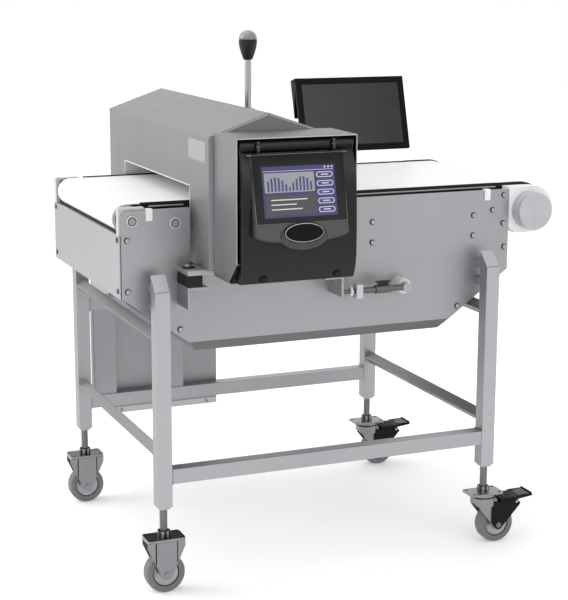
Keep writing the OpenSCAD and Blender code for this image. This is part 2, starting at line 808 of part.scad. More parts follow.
// Bolts on the side plates as [x, z]
bolt_in = 20;
bolt_aside = 24.2;
plate_bolts = [[plate_x0 + bolt_in, 890.5], [plate_x0 + bolt_in, 763.3], [slope_x0 - bolt_aside, 658.6],
               [carry_x, 897.9], [carry_x, 844.4], [snub_x, 898.6], [snub_x, 844.7],
               [plate_x1 - 3*bolt_in/5, 807.9], [slope_x1 + bolt_aside, 656.2], [plate_x1 - 17.1, 948.3],
               [plate_x1 - 50.3, 909.4], [plate_x1 - 17.1, 872.4]];
cover_bolt_in = 14;
cover_bolt_z = [763.3, 890.5];

module frame_bolts() color(grey) placed() {
    both_sides() for (p = plate_bolts) hex_y(bolt_flats, plate_y - bolt_h, plate_y, p[0], p[1]);
    both_sides() for (z = cover_bolt_z)
        rod_x(bolt_flats/2, plate_x0 - bolt_h/2, plate_x0, inner_y + cover_bolt_in, z);
    both_sides() both_ends(foot_mid)
        translate([pad_x + pad_w/2 - bolt_flats/2, tube/2 + bolt_flats, foot_z + foot_t])
            cylinder(d = bolt_flats/cos(30), h = bolt_h, $fn = 6);
}

// Detector head

module head_outline(inset) polygon([
    [head_left + inset, head_bottom + inset], [head_right - inset, head_bottom + inset],
    [head_right - inset, eaves_z], [head_mid, eaves_z + roof_rise - inset], [head_left + inset, eaves_z]]);

module detector_head() color(steel) placed() difference() {
    slab_y(head_y0, head_y1) head_outline(0);
    difference() {
        slab_y(head_y0 + head_wall, head_y1 - head_wall) head_outline(head_wall);
        block([head_left - cut, hole_y - liner_t - head_wall, hole_bottom - liner_t - head_wall],
              [head_right + cut, 2*mid_y - hole_y + liner_t + head_wall, hole_top + liner_t + head_wall]);
    }
    block([head_left - cut, hole_y - liner_t, hole_bottom - liner_t],
          [head_right + cut, 2*mid_y - hole_y + liner_t, hole_top + liner_t]);
}

module aperture_liner() color(white) placed() difference() {
    block([head_left, hole_y - liner_t, hole_bottom - liner_t],
          [head_right, 2*mid_y - hole_y + liner_t, hole_top + liner_t]);
    block([head_left - cut, hole_y, hole_bottom], [head_right + cut, 2*mid_y - hole_y, hole_top]);
}

coil_w = 68;
coil_t = 12;

module search_coil() color([0.72, 0.4, 0.2]) placed() difference() {
    duct = liner_t + head_wall;
    block([head_mid - coil_w/2, hole_y - duct - coil_t, hole_bottom - duct - coil_t],
          [head_mid + coil_w/2, 2*mid_y - hole_y + duct + coil_t, hole_top + duct + coil_t]);
    block([head_mid - coil_w/2 - cut, hole_y - duct, hole_bottom - duct],
          [head_mid + coil_w/2 + cut, 2*mid_y - hole_y + duct, hole_top + duct]);
}

// Head mounts: brackets on the side plates, rubber pads, and feet under the head

foot_mid = head_mid + 5.4;
bracket_x = 80.8;
bracket_t = 6.7;
bracket_w = 52;
bracket_z = 724;
bracket_out = 80.6;
pad_x = 81;
pad_w = 39;
pad_z = 779;
foot_t = 14;
foot_z = head_bottom - foot_t;

module mount_brackets() color(steel) placed() both_sides() both_ends(foot_mid) {
    block([bracket_x, plate_y - bracket_out, bracket_z], [bracket_x + bracket_t, plate_y, pad_z]);
    block([bracket_x, plate_y - bracket_out, pad_z - bracket_t], [bracket_x + bracket_w, plate_y, pad_z]);
}

module rubber_pads() color(black) placed() both_sides() both_ends(foot_mid)
    block([pad_x, plate_y - bracket_out, pad_z], [pad_x + pad_w, plate_y - slip, foot_z]);

module head_feet() color(steel) placed() both_sides() both_ends(foot_mid)
    block([pad_x, plate_y - bracket_out, foot_z], [head_left + 2*pad_w, plate_y - slip, head_bottom]);

// Beacon on the rear roof slope

beacon_x = 391;
beacon_y = mid_y;
flange_r = 18;
flange_t = 4;
cup_r0 = 10.5;
cup_r1 = 24.5;

module beacon_pole() color(grey) placed() {
    roof_z = eaves_z + roof_rise*(head_right - beacon_x)/(head_length/2);
    difference() {
        union() {
            rod_z(pole_d/2, eaves_z, pole_top, beacon_x, beacon_y);
            rod_z(flange_r, eaves_z, roof_z + roof_rise*flange_r/(head_length/2) + flange_t, beacon_x, beacon_y);
        }
        slab_y(0, stand_width) head_outline(0);
    }
}

// Egg-shaped cup, round at its foot and nearly upright at its rim
module beacon_cup() color(black) placed() translate([beacon_x, beacon_y, pole_top]) rotate_extrude()
    polygon([[0, 0], for (share = [0:0.1:1]) [cup_r0 + (cup_r1 - cup_r0)*sin(90*share), cup_h*share],
             [0, cup_h]]);

module beacon_dome() color([0.8, 0.8, 0.8, 0.8]) placed() translate([beacon_x, beacon_y, pole_top + cup_h])
    rotate_extrude() polygon([[0, 0], for (a = [0:5:90]) [cup_r1*cos(a), dome_h*sin(a)]]);

// Operator enclosure

box_wall = 3;
bezel_in = box_wall + gap;
box_x1 = box_x + box_w;
slope_h = 52;

module box_outline(inset) polygon([
    [head_y0 - inset, box_bottom + inset], [box_y + box_slope, box_bottom + inset],
    [box_y, box_bottom + slope_h + inset], [box_y - (inset > 0 ? cut : 0), box_top - inset],
    [head_y0 - inset, box_top - inset]]);

bezel_bottom = 815;
bezel_t = 8;

module hmi_enclosure() color(steel) placed() difference() {
    slab_x(box_x, box_x1) box_outline(0);
    slab_x(box_x + box_wall, box_x1 - box_wall) polygon([
        [head_y0 - box_wall, box_bottom + box_wall], [box_y + box_slope, box_bottom + box_wall],
        [box_y, box_bottom + slope_h + box_wall], [box_y - cut, box_bottom + slope_h + box_wall],
        [box_y - cut, box_top - box_wall], [head_y0 - box_wall, box_top - box_wall]]);
}

wedge_x = 160;
wedge_x1 = 420;
wedge_wall = 8.5;
moulding_t = 6;
moulding_in = 16;
room_floor = box_bottom + slope_h + bezel_in + moulding_t;
room_top = box_top - bezel_in - moulding_t;
// Front of the moulding as [depth from the enclosure's rim, height], from its recessed top
// to its swollen middle and its hanging lower edge
moulding_front = [[moulding_in, box_top - bezel_in], [6, 1138], [-3, 1112], [-14, 1060], [-18, 1000],
                  [-20, 940], [-20, 872], [-15, 840], [-4, bezel_bottom]];
moulding_foot = [[box_slope/2, bezel_bottom], [box_slope/2, box_bottom + slope_h/2 - moulding_t/2],
                 [-gap, box_bottom + slope_h - gap], [-gap, box_bottom + slope_h + bezel_in],
                 [bezel_t, box_bottom + slope_h + bezel_in]];

function moulding_back(past) = [[bezel_t + past, 1090], [moulding_in + bezel_t + past, 1128]];
function wedge_face(z) = -bezel_proud - (wedge_top - z)*tan(display_lean);

module moulding_outline() translate([box_y, 0]) polygon(concat(moulding_front, moulding_foot,
    moulding_back(0), [[moulding_in + bezel_t, box_top - bezel_in]]));

// Room behind the moulding's front, open towards the enclosure
module moulding_room() translate([box_y, 0]) polygon(concat(
    [for (p = moulding_front) if (p[1] > room_floor) [p[0] + moulding_t, min(p[1], room_top)]],
    [[bezel_t + cut, room_floor]], moulding_back(cut), [[moulding_in + bezel_t + cut, room_top]]));

module wedge_outline() translate([box_y, 0])
    polygon([[0, wedge_top], [wedge_face(wedge_top), wedge_top], [wedge_face(wedge_bottom), wedge_bottom],
             [0, wedge_bottom]]);

module wedge_room() translate([box_y, 0]) {
    low = wedge_bottom + moulding_t;
    high = wedge_top - display_drop;
    polygon([[0, high], [wedge_face(high) + wedge_wall, high], [wedge_face(low) + wedge_wall, low], [0, low]]);
}

// Black moulded front, and the wedge that tilts the display
module hmi_bezel() color(black) placed() difference() {
    union() {
        slab_x(box_x + bezel_in, box_x1 - bezel_in) moulding_outline();
        slab_x(wedge_x, wedge_x1) wedge_outline();
    }
    slab_x(box_x + bezel_in + moulding_t, box_x1 - bezel_in - moulding_t) moulding_room();
    slab_x(wedge_x + moulding_t, wedge_x1 - moulding_t) wedge_room();
    display_seat(display_t, slip);
}

display_t = 3;
display_drop = 28;

// Space of the display in the sloping face of the wedge
module display_seat(depth, grow)
    translate([(wedge_x + wedge_x1)/2, box_y - bezel_proud, wedge_top]) rotate([-display_lean, 0, 0])
        translate([-display_w/2 - grow, -cut*grow/slip, -display_drop - display_h - grow])
            cube([display_w + 2*grow, depth + cut*grow/slip, display_h + 2*grow]);

module hmi_display() color([0.3, 0.28, 0.5]) placed() display_seat(display_t, 0);

// Monitor

post_end = 118.2;
post_mid_x = stand_length - post_end;
post_tube = 25;
hinge_back = 14;
ear_r = 10;
ear_t = 6;
lug_w = 24;
tilt_pin_r = 5;
monitor_in = 29.2;
monitor_y = stand_width - plate_y - monitor_in;
tilt_y = monitor_y + monitor_t/cos(monitor_lean) + hinge_back;
foot_plate_h = 160;
foot_plate_w = 40;
post_y = tilt_y - post_tube/2;
post_foot_z = 780;

module monitor_post() color(steel) placed() {
    block([post_mid_x - foot_plate_w/2, stand_width - plate_y, post_foot_z],
          [post_mid_x + foot_plate_w/2, post_y, post_foot_z + foot_plate_h]);
    difference() {
        block([post_mid_x - post_tube/2, post_y, post_foot_z],
              [post_mid_x + post_tube/2, post_y + post_tube, monitor_z - 3*ear_r]);
        block([post_mid_x - post_tube/2 + tube_wall, post_y + tube_wall, post_foot_z - cut],
              [post_mid_x + post_tube/2 - tube_wall, post_y + post_tube - tube_wall, monitor_z - 3*ear_r - tube_wall]);
    }
    block([post_mid_x - lug_w/2 - ear_t - gap, tilt_y - ear_r, monitor_z - 3*ear_r],
          [post_mid_x + lug_w/2 + ear_t + gap, tilt_y + ear_r, monitor_z - 3*ear_r + ear_t]);
    for (x = [post_mid_x - lug_w/2 - ear_t - gap, post_mid_x + lug_w/2 + gap]) slab_x(x, x + ear_t) {
        translate([tilt_y, monitor_z]) circle(ear_r);
        translate([tilt_y - ear_r, monitor_z - 3*ear_r + ear_t/2]) square([2*ear_r, 3*ear_r - ear_t/2]);
    }
    rod_x(tilt_pin_r, post_mid_x - lug_w/2 - ear_t - gap, post_mid_x + lug_w/2 + ear_t + gap, tilt_y, monitor_z);
}

module monitor() color(black) placed() {
    translate([post_mid_x, monitor_y, monitor_z]) rotate([-monitor_lean, 0, 0])
        translate([-monitor_w/2, 0, -monitor_h/2]) cube([monitor_w, monitor_t, monitor_h]);
    difference() {
        slab_x(post_mid_x - lug_w/2, post_mid_x + lug_w/2) {
            translate([tilt_y, monitor_z]) circle(ear_r);
            translate([monitor_y + monitor_t, monitor_z - ear_r]) square([tilt_y - monitor_y - monitor_t, 2*ear_r]);
        }
        rod_x(tilt_pin_r + fit, post_mid_x - lug_w, post_mid_x + lug_w, tilt_y, monitor_z);
    }
}

// Short air pipe with a quarter-turn valve, on the right front bracket

pipe_r = 6;
pipe_y = 27;
pipe_z = bracket_z + pipe_r;
pipe_x = 2*foot_mid - bracket_x;
pipe_length = 193;
pipe_x1 = pipe_x + pipe_length;
nut_past = 34;
nut_x = pipe_x + nut_past;
valve_past = 125;
valve_x = pipe_x + valve_past;
valve_r = 11;
valve_w = 44;
handle_r = 5;
handle_w = 40;
handle_h = 15;
cap_r = 12;
flange_out_r = 20;

module air_pipe() color(steel) placed() {
    rod_x(pipe_r, pipe_x, pipe_x1, pipe_y, pipe_z);
    rod_x(2*pipe_r, nut_x - bushing_out, nut_x + bushing_out, pipe_y, pipe_z);
    block([nut_x + 2*pipe_r, pipe_y - 2*pipe_r, pipe_z - 3*pipe_r],
          [nut_x + 5*pipe_r, pipe_y + 2*pipe_r, pipe_z + 3*pipe_r]);
    rod_x(valve_r - bushing_out, nut_x + 5*pipe_r, pipe_x1 - cap_r, pipe_y, pipe_z);
    rod_x(valve_r, valve_x - valve_w/2, valve_x + valve_w/2, pipe_y, pipe_z);
    rod_y(cap_r, pipe_y - cap_r + bushing_out, pipe_y + cap_r, pipe_x1, pipe_z);
    rod_y(flange_out_r, pipe_y + cap_r, plate_y, pipe_x1, pipe_z);
}

module valve_handle() color(black) placed() {
    rod_z(handle_r, pipe_z + valve_r + gap, pipe_z + valve_r + handle_h/2, valve_x, pipe_y);
    slab_y(pipe_y - handle_r, pipe_y + handle_r) polygon([
        [valve_x - handle_w/3, pipe_z + valve_r + handle_r], [valve_x + handle_w/3, pipe_z + valve_r + handle_r],
        [valve_x + handle_w/2, pipe_z + valve_r + handle_h], [valve_x - handle_w/2, pipe_z + valve_r + handle_h]]);
}

leg(0);  // front_left_leg
leg(right_leg_x);  // front_right_leg
far_leg(0);  // rear_left_leg
far_leg(right_leg_x);  // rear_right_leg
stand_rails();
leg_plugs();
leg_spacers();
cabinet_posts();
control_cabinet();
cabinet_door();
cabinet_latch();
cabinet_electronics();
cable_glands();
color(steel) at_caster(left_mid_x) rigid_fork();  // front_left_fork
color(steel) at_far_caster(left_mid_x) rigid_fork();  // rear_left_fork
color(grey) at_caster(left_mid_x) wheel(0);  // front_left_wheel
color(grey) at_far_caster(left_mid_x) wheel(0);  // rear_left_wheel
color(steel) at_caster(right_mid_x) swivel_stem();  // front_right_stem
color(steel) at_far_caster(right_mid_x) swivel_stem();  // rear_right_stem
color(steel) at_caster(right_mid_x) swivel_fork();  // front_right_fork
color(steel) at_far_caster(right_mid_x) swivel_fork();  // rear_right_fork
color(grey) at_caster(right_mid_x) wheel(trail);  // front_right_wheel
color(grey) at_far_caster(right_mid_x) wheel(trail);  // rear_right_wheel
color(black) at_caster(right_mid_x) brake_cover();  // front_right_brake_cover
color(black) at_far_caster(right_mid_x) brake_cover();  // rear_right_brake_cover
color(black) at_caster(right_mid_x) pedal();  // front_right_pedal
color(black) at_far_caster(right_mid_x) pedal();  // rear_right_pedal
color(steel) placed() side_plate();  // front_side_plate
color(steel) placed() far_side() side_plate();  // rear_side_plate
infeed_cover();
belly_pan();
slider_bed();
conveyor_belt();
roller(tail_x, tail_z, tail_r - belt_t - gap, plate_y - shaft_out);  // tail_roller
roller(return_x, return_z, return_r, plate_y - shaft_out);  // return_roller
roller(carry_x, carry_z, roller_r, inner_y + 2*gap);  // carry_roller
roller(snub_x, carry_z, roller_r, inner_y + 2*gap);  // snub_roller
drum_motor();
drum_end_blocks();
drum_motor_cap();
nose_blocks();
guide_clips();
roller_bearings();
frame_bolts();
detector_head();
aperture_liner();
search_coil();
mount_brackets();
rubber_pads();
head_feet();
beacon_pole();
beacon_cup();
beacon_dome();
hmi_enclosure();
hmi_bezel();
hmi_display();
monitor_post();
monitor();
air_pipe();
valve_handle();
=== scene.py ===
import json
import math

import bmesh
import bpy
from mathutils import Matrix, Vector


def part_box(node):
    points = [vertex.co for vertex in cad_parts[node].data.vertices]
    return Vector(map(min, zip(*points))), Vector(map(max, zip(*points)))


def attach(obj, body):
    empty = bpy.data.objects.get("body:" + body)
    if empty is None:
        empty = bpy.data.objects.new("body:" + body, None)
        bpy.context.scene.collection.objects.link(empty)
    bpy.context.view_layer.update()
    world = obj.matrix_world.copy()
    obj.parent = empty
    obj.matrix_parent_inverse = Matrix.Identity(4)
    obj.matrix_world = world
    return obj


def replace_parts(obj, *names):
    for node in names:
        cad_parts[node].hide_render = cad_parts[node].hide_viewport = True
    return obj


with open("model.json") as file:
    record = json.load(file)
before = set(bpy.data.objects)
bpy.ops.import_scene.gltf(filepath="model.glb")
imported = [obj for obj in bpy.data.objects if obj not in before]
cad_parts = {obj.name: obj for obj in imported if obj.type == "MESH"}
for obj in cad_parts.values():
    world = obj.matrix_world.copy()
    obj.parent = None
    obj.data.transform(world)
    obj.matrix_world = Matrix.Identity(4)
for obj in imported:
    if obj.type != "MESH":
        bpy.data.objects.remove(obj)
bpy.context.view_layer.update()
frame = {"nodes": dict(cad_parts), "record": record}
bodyOf = {}
for bodyName, nodeNames in frame["record"]["behaviour"]["bodies"].items():
    for nodeName in nodeNames:
        bodyOf[nodeName] = bodyName
print("frame loaded:", len(frame["nodes"]), "nodes")

# Places are in millimetres from the outer corner of the front left leg, heights from the floor.
mm = 0.001
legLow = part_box("front_left_leg")[0]


def at(x, y, z):
    return Vector((legLow.x + x * mm, legLow.y + y * mm, z * mm))


def legMiddle(side):
    # Middle of a leg in the places that at() takes, rounded to a hundredth of a millimetre.
    middle = (sum(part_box(side + "_leg"), Vector()) / 2 - legLow) / mm
    return round(middle.x, 2), round(middle.y, 2)


leftX, frontY = legMiddle("front_left")
rightX, rearY = legMiddle("rear_right")
sides = {"front_left": (leftX, frontY), "rear_left": (leftX, rearY),
         "front_right": (rightX, frontY), "rear_right": (rightX, rearY)}
rigidSides = ("front_left", "rear_left")
brakedSides = ("front_right", "rear_right")


# Camera, at the angle of the photograph.
view = {
    "place": (-1124.7, -3504.0, 1540.4),
    "yaw": 22.63,  # degrees to the right of +Y
    "pitch": 12.07,  # degrees below the horizon
    "roll": 0.19,
    "lens": 93.28,
    "sensor": 36,
}


def makeCamera():
    data = bpy.data.cameras.new("camera")
    data.lens = view["lens"]
    data.sensor_width = view["sensor"]
    data.clip_start = 0.05
    data.clip_end = 60
    cam = bpy.data.objects.new("camera", data)
    bpy.context.collection.objects.link(cam)
    yaw, pitch = math.radians(view["yaw"]), math.radians(view["pitch"])
    ahead = Vector((math.sin(yaw) * math.cos(pitch), math.cos(yaw) * math.cos(pitch), -math.sin(pitch)))
    cam.rotation_mode = "QUATERNION"
    cam.location = at(*view["place"])
    turn = ahead.to_track_quat("-Z", "Y").to_matrix() @ Matrix.Rotation(math.radians(view["roll"]), 3, "Z")
    cam.rotation_quaternion = turn.to_quaternion()
    bpy.context.scene.camera = cam


makeCamera()
print("camera ready")


class Wire:
    # One socket of a node tree, so that shader maths reads as plain maths.
    def __init__(self, tree, socket):
        self.tree = tree
        self.socket = socket

    def maths(self, operation, first, second):
        node = self.tree.nodes.new("ShaderNodeMath")
        node.operation = operation
        for place, value in zip(node.inputs, (first, second)):
            if isinstance(value, Wire):
                self.tree.links.new(value.socket, place)
            else:
                place.default_value = value
        return Wire(self.tree, node.outputs[0])

    def __add__(self, other):
        return self.maths("ADD", self, other)

    def __radd__(self, other):
        return self.maths("ADD", other, self)

    def __sub__(self, other):
        return self.maths("SUBTRACT", self, other)

    def __rsub__(self, other):
        return self.maths("SUBTRACT", other, self)

    def __mul__(self, other):
        return self.maths("MULTIPLY", self, other)

    def __rmul__(self, other):
        return self.maths("MULTIPLY", other, self)


class Graph:
    # A node tree under construction.
    def __init__(self, tree):
        self.tree = tree
        self.tree.nodes.clear()

    def add(self, kind, settings=None, values=None, out=0):
        node = self.tree.nodes.new(kind)
        for key, value in (settings or {}).items():
            setattr(node, key, value)
        for key, value in (values or {}).items():
            if isinstance(value, Wire):
                self.tree.links.new(value.socket, node.inputs[key])
            else:
                node.inputs[key].default_value = value
        return None if out is None else Wire(self.tree, node.outputs[out])


class Finish(Graph):
    # A material under construction, with one main shader.
    def __init__(self, name):
        self.material = bpy.data.materials.new(name)
        self.material.use_nodes = True
        super().__init__(self.material.node_tree)
        self.shader = self.tree.nodes.new("ShaderNodeBsdfPrincipled")
        self.add("ShaderNodeOutputMaterial", values={"Surface": Wire(self.tree, self.shader.outputs[0])}, out=None)
        self.place = self.add("ShaderNodeTexCoord", out="Object")

    def stretched(self, scale):
        return self.add("ShaderNodeMapping", values={"Vector": self.place, "Scale": scale})

    def noise(self, vector, scale, detail=3.0, rough=0.5):
        values = {"Vector": vector, "Scale": scale, "Detail": detail, "Roughness": rough}
        return self.add("ShaderNodeTexNoise", values=values)

    def range(self, value, low, high, newLow=0.0, newHigh=1.0):
        values = {"Value": value, "From Min": low, "From Max": high, "To Min": newLow, "To Max": newHigh}
        return self.add("ShaderNodeMapRange", {"clamp": True}, values)

    def blend(self, factor, first, second):
        colours = [c if isinstance(c, Wire) else (*c, 1.0) for c in (first, second)]
        values = {0: factor, 6: colours[0], 7: colours[1]}
        return self.add("ShaderNodeMix", {"data_type": "RGBA"}, values, out=2)

    def bump(self, height, strength):
        normal = self.add("ShaderNodeBump", values={"Height": height, "Strength": strength, "Distance": 0.0002})
        self.set("Normal", normal)

    def set(self, name, value):
        if isinstance(value, Wire):
            self.tree.links.new(value.socket, self.shader.inputs[name])
        else:
            self.shader.inputs[name].default_value = value


def shade(grey, cool=0.0):
    return (grey * (1 - cool / 2), grey, grey * (1 + cool))


def steelFinish(name, grey, roughness, along, grain=0.35, clouding=0.06, metallic=0.7):
    # Satin stainless: a fine directional grain, soft clouds of tone, and smears left by wiping.
    finish = Finish(name)
    stretch = [620.0, 620.0, 620.0]
    stretch[along] = 7.0
    lines = finish.noise(finish.stretched(stretch), 1.0, 4.0, 0.6)
    clouds = finish.noise(finish.place, 2.6, 3.0)
    smears = finish.noise(finish.stretched((6, 11, 3)), 1.0, 3.0)
    specks = finish.noise(finish.place, 900.0, 1.0)
    tone = finish.range(clouds * 0.45 + lines * 0.35 + specks * 0.2, 0.3, 0.7)
    dark, light = shade(grey * (1 - clouding), 0.035), shade(min(1.0, grey * (1 + clouding)), 0.035)
    finish.set("Base Color", finish.blend(tone, dark, light))
    finish.set("Metallic", metallic)
    worn = smears * 0.5 + lines * 0.5
    finish.set("Roughness", finish.range(worn, 0.3, 0.7, roughness - 0.05, roughness + 0.07))
    finish.bump(lines, grain)
    return finish.material


def plasticFinish(name, colour, roughness, depth=0.3, mottling=0.05, coat=0.0, specular=0.5):
    # Moulded plastic with a fine spark-eroded texture and slight handling marks.
    finish = Finish(name)
    pores = finish.noise(finish.place, 1000.0, 2.0, 0.6)
    marks = finish.noise(finish.place, 14.0, 4.0)
    dark = tuple(c * (1 - mottling) for c in colour)
    light = tuple(min(1.0, c * (1 + mottling)) for c in colour)
    finish.set("Base Color", finish.blend(finish.range(marks, 0.35, 0.65), dark, light))
    finish.set("Roughness", finish.range(marks * 0.7 + pores * 0.3, 0.3, 0.7, roughness - 0.06, roughness + 0.06))
    finish.set("Specular IOR Level", specular)
    if coat:
        finish.set("Coat Weight", coat)
        finish.set("Coat Roughness", 0.12)
    finish.bump(pores, depth)
    return finish.material


def beltFinish(name, colour, roughness):
    # Smooth food belt over a fabric carrier, whose weave just shows through.
    finish = Finish(name)
    warp = finish.add("ShaderNodeTexWave", {"bands_direction": "X"}, {"Vector": finish.place, "Scale": 160.0})
    weft = finish.add("ShaderNodeTexWave", {"bands_direction": "Y"}, {"Vector": finish.place, "Scale": 160.0})
    marks = finish.noise(finish.stretched((1.5, 9, 4)), 1.0, 4.0)
    dark, light = tuple(c * 0.965 for c in colour), tuple(min(1.0, c * 1.015) for c in colour)
    finish.set("Base Color", finish.blend(finish.range(marks, 0.35, 0.65), dark, light))
    finish.set("Roughness", finish.range(marks, 0.3, 0.7, roughness - 0.05, roughness + 0.06))
    finish.bump(warp * weft, 0.25)
    return finish.material


def glowFinish(name, colour):
    # Lit part of a screen under glass: fine pixel rows over an even colour.
    finish = Finish(name)
    rows = finish.add("ShaderNodeTexWave", {"bands_direction": "Z"}, {"Vector": finish.place, "Scale": 320.0})
    drift = finish.noise(finish.place, 9.0, 2.0)
    dim = tuple(c * 0.9 for c in colour)
    lit = finish.blend(finish.range(drift * 0.7 + rows * 0.3, 0.25, 0.75), dim, colour)
    finish.set("Base Color", (0.01, 0.01, 0.011, 1))
    finish.set("Emission Color", lit)
    finish.set("Emission Strength", 1.0)
    finish.set("Roughness", 0.25)
    finish.set("Specular IOR Level", 0.3)
    return finish.material


finishes = {
    "sheet": steelFinish("satin_sheet", 0.34, 0.42, along=0),
    "sheetUpright": steelFinish("satin_sheet_upright", 0.33, 0.42, along=2),
    "tubeLong": steelFinish("tube_along", 0.37, 0.38, along=0),
    "tubeCross": steelFinish("tube_across", 0.37, 0.38, along=1),
    "tubeUpright": steelFinish("tube_upright", 0.40, 0.38, along=2),
    "cover": steelFinish("infeed_sheet", 0.36, 0.42, along=1),
    "headSheet": steelFinish("head_sheet", 0.24, 0.5, along=1),
    # A darker copy of the head's steel: painted shade on the head's front and back faces.
    "gable": steelFinish("gable_sheet_painted_shade", 0.20, 0.5, along=0, metallic=0.4),
    # A darker copy of the leg steel: painted shade on the legs' left faces.
    "legSidePaintedShade": steelFinish("leg_side_painted_shade", 0.30, 0.4, along=2),
    # Darker copies of the rail steel, brushed along the side rails: painted shade on the diamond rails' upper and
    # lower left faces.
    "railUpperPaintedShade": steelFinish("rail_upper_painted_shade", 0.24, 0.4, along=1),
    "railLowerPaintedShade": steelFinish("rail_lower_painted_shade", 0.21, 0.45, along=1),
    # A lighter copy of the leg steel, brushed across: painted light on the legs' sloped caps.
    "legCapPaintedLight": steelFinish("leg_cap", 0.5, 0.4, along=0),
    "housing": plasticFinish("drum_housing", (0.76, 0.765, 0.78), 0.4, depth=0.15, mottling=0.02),
    "boxSheet": steelFinish("enclosure_sheet", 0.215, 0.4, along=2),
    # The enclosure's top: brushed the other way, and darker as painted shade on faces that look up.
    "boxTopPaintedShade": steelFinish("enclosure_top_painted_shade", 0.16, 0.4, along=0),
    # Light steel for the bright strips at sheet edges, as painted highlights, and for the thin bars beside the belt.
    "rim": steelFinish("light_steel_and_painted_highlight", 0.45, 0.3, along=2, grain=0.1),
    "pan": steelFinish("belly_sheet", 0.17, 0.5, along=0),
    "bright": steelFinish("bright_steel", 0.42, 0.24, along=2, grain=0.1, metallic=1.0),
    "shaft": steelFinish("shaft_steel", 0.3, 0.5, along=1, grain=0.05, clouding=0.03),
    "boltSteel": steelFinish("bolt_steel", 0.16, 0.34, along=2, grain=0.1, metallic=0.9),
    "darkSteel": steelFinish("dark_steel", 0.12, 0.36, along=2, grain=0.2, metallic=0.9),
    "zinc": steelFinish("zinc_plate", 0.26, 0.32, along=2, grain=0.2, clouding=0.12, metallic=0.85),
    "weld": steelFinish("weld_bead", 0.3, 0.36, along=1, grain=0.8, clouding=0.2),
    "black": plasticFinish("black_plastic", (0.009, 0.009, 0.010), 0.4, specular=0.3),
    "blackSmooth": plasticFinish("black_moulding", (0.008, 0.008, 0.009), 0.28, depth=0.12, specular=0.26),
    "blackFrame": plasticFinish("black_frame", (0.030, 0.030, 0.031), 0.36, depth=0.15, specular=0.5),
    "blackRecess": plasticFinish("black_recess", (0.005, 0.005, 0.005), 0.3, depth=0.1, specular=0.18),
    "blackDeep": plasticFinish("black_fitting", (0.003, 0.003, 0.003), 0.26, depth=0.1, specular=0.12),
    "blackGloss": plasticFinish("black_knob", (0.004, 0.004, 0.004), 0.1, depth=0.05, specular=0.5),
    # A lighter grey for strips that stand for highlights on the panel's edges.
    "lip": plasticFinish("frame_lip", (0.12, 0.12, 0.125), 0.35, depth=0.1),
    "rubber": plasticFinish("black_rubber", (0.008, 0.008, 0.008), 0.65, depth=0.6, specular=0.3),
    "white": plasticFinish("white_plastic", (0.62, 0.625, 0.64), 0.4, depth=0.15, mottling=0.02),
    "nose": plasticFinish("nose_plastic", (0.46, 0.462, 0.47), 0.4, depth=0.15, mottling=0.02),
    "label": plasticFinish("bare_label", (0.29, 0.292, 0.295), 0.4, depth=0.1, mottling=0.02),
    "belt": beltFinish("white_belt", (0.81, 0.815, 0.82), 0.5),
    "greyPlastic": plasticFinish("grey_plastic", (0.42, 0.425, 0.44), 0.42),
    "tread": plasticFinish("wheel_tread", (0.14, 0.145, 0.15), 0.55, depth=0.4, mottling=0.1),
    "hubDisc": steelFinish("hub_disc", 0.34, 0.3, along=1, grain=0.1, metallic=0.85),
    "blackNut": steelFinish("black_nut", 0.008, 0.22, along=2, grain=0.1, metallic=0.2),
    "boltHead": steelFinish("bolt_head", 0.36, 0.34, along=2, grain=0.1, metallic=0.8),
    "bracketEdge": steelFinish("bracket_edge", 0.5, 0.36, along=0, grain=0.1),
    "padGrey": plasticFinish("pedal_pad", (0.075, 0.075, 0.077), 0.5, depth=0.5),
    "pedalBlack": plasticFinish("pedal_black", (0.006, 0.006, 0.006), 0.45, depth=0.3, specular=0.12),
    "resin": plasticFinish("coil_resin", (0.35, 0.16, 0.07), 0.5),
    "frosted": plasticFinish("frosted_dome", (0.20, 0.20, 0.205), 0.25, depth=0.1, coat=0.6),
    "screenOff": plasticFinish("screen_off", (0.014, 0.014, 0.0145), 0.22, depth=0.02, mottling=0.03, specular=0.35),
    "monitorBlack": plasticFinish("monitor_frame", (0.003, 0.003, 0.003), 0.3, depth=0.05, specular=0.08),
    "screenBack": glowFinish("screen_indigo", (0.032, 0.025, 0.138)),
    "screenPale": glowFinish("screen_pale", (0.66, 0.67, 0.72)),
    "screenGrey": glowFinish("screen_grey", (0.30, 0.32, 0.345)),
    "screenDark": glowFinish("screen_window", (0.052, 0.048, 0.050)),
    "screenAccent": glowFinish("screen_bars", (0.05, 0.041, 0.20)),
}
print("finishes ready:", len(finishes))


joining = {
    "near": 0.002,   # millimetres within which points are one
    "flat": 0.6,     # degrees within which faces are one
    "sharp": 32,     # degrees past which an edge is broken or drawn sharp
    "square": 69,    # degrees past which an edge counts as square
    "along": 0.9,    # least cosine at which an edge or a face looks a given way
}


def finished(bm, name, finish, body, angle=joining["sharp"]):
    # Makes an object of a bmesh, with smooth faces that break at sharp edges.
    mesh = bpy.data.meshes.new(name)
    bm.to_mesh(mesh)
    bm.free()
    for face in mesh.polygons:
        face.use_smooth = True
    mesh.set_sharp_from_angle(angle=math.radians(angle))
    mesh.materials.append(finishes[finish])
    piece = bpy.data.objects.new(name, mesh)
    bpy.context.collection.objects.link(piece)
    even = piece.modifiers.new("even_shading", "WEIGHTED_NORMAL")
    even.keep_sharp = True
    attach(piece, body)
    return piece


def merged(node):
    # A closed copy of a CAD piece, with its flat faces whole.
    bm = bmesh.new()
    bm.from_mesh(frame["nodes"][node].data)
    bmesh.ops.remove_doubles(bm, verts=bm.verts, dist=joining["near"] * mm)
    bmesh.ops.dissolve_limit(bm, angle_limit=math.radians(joining["flat"]), verts=bm.verts, edges=bm.edges)
    return bm


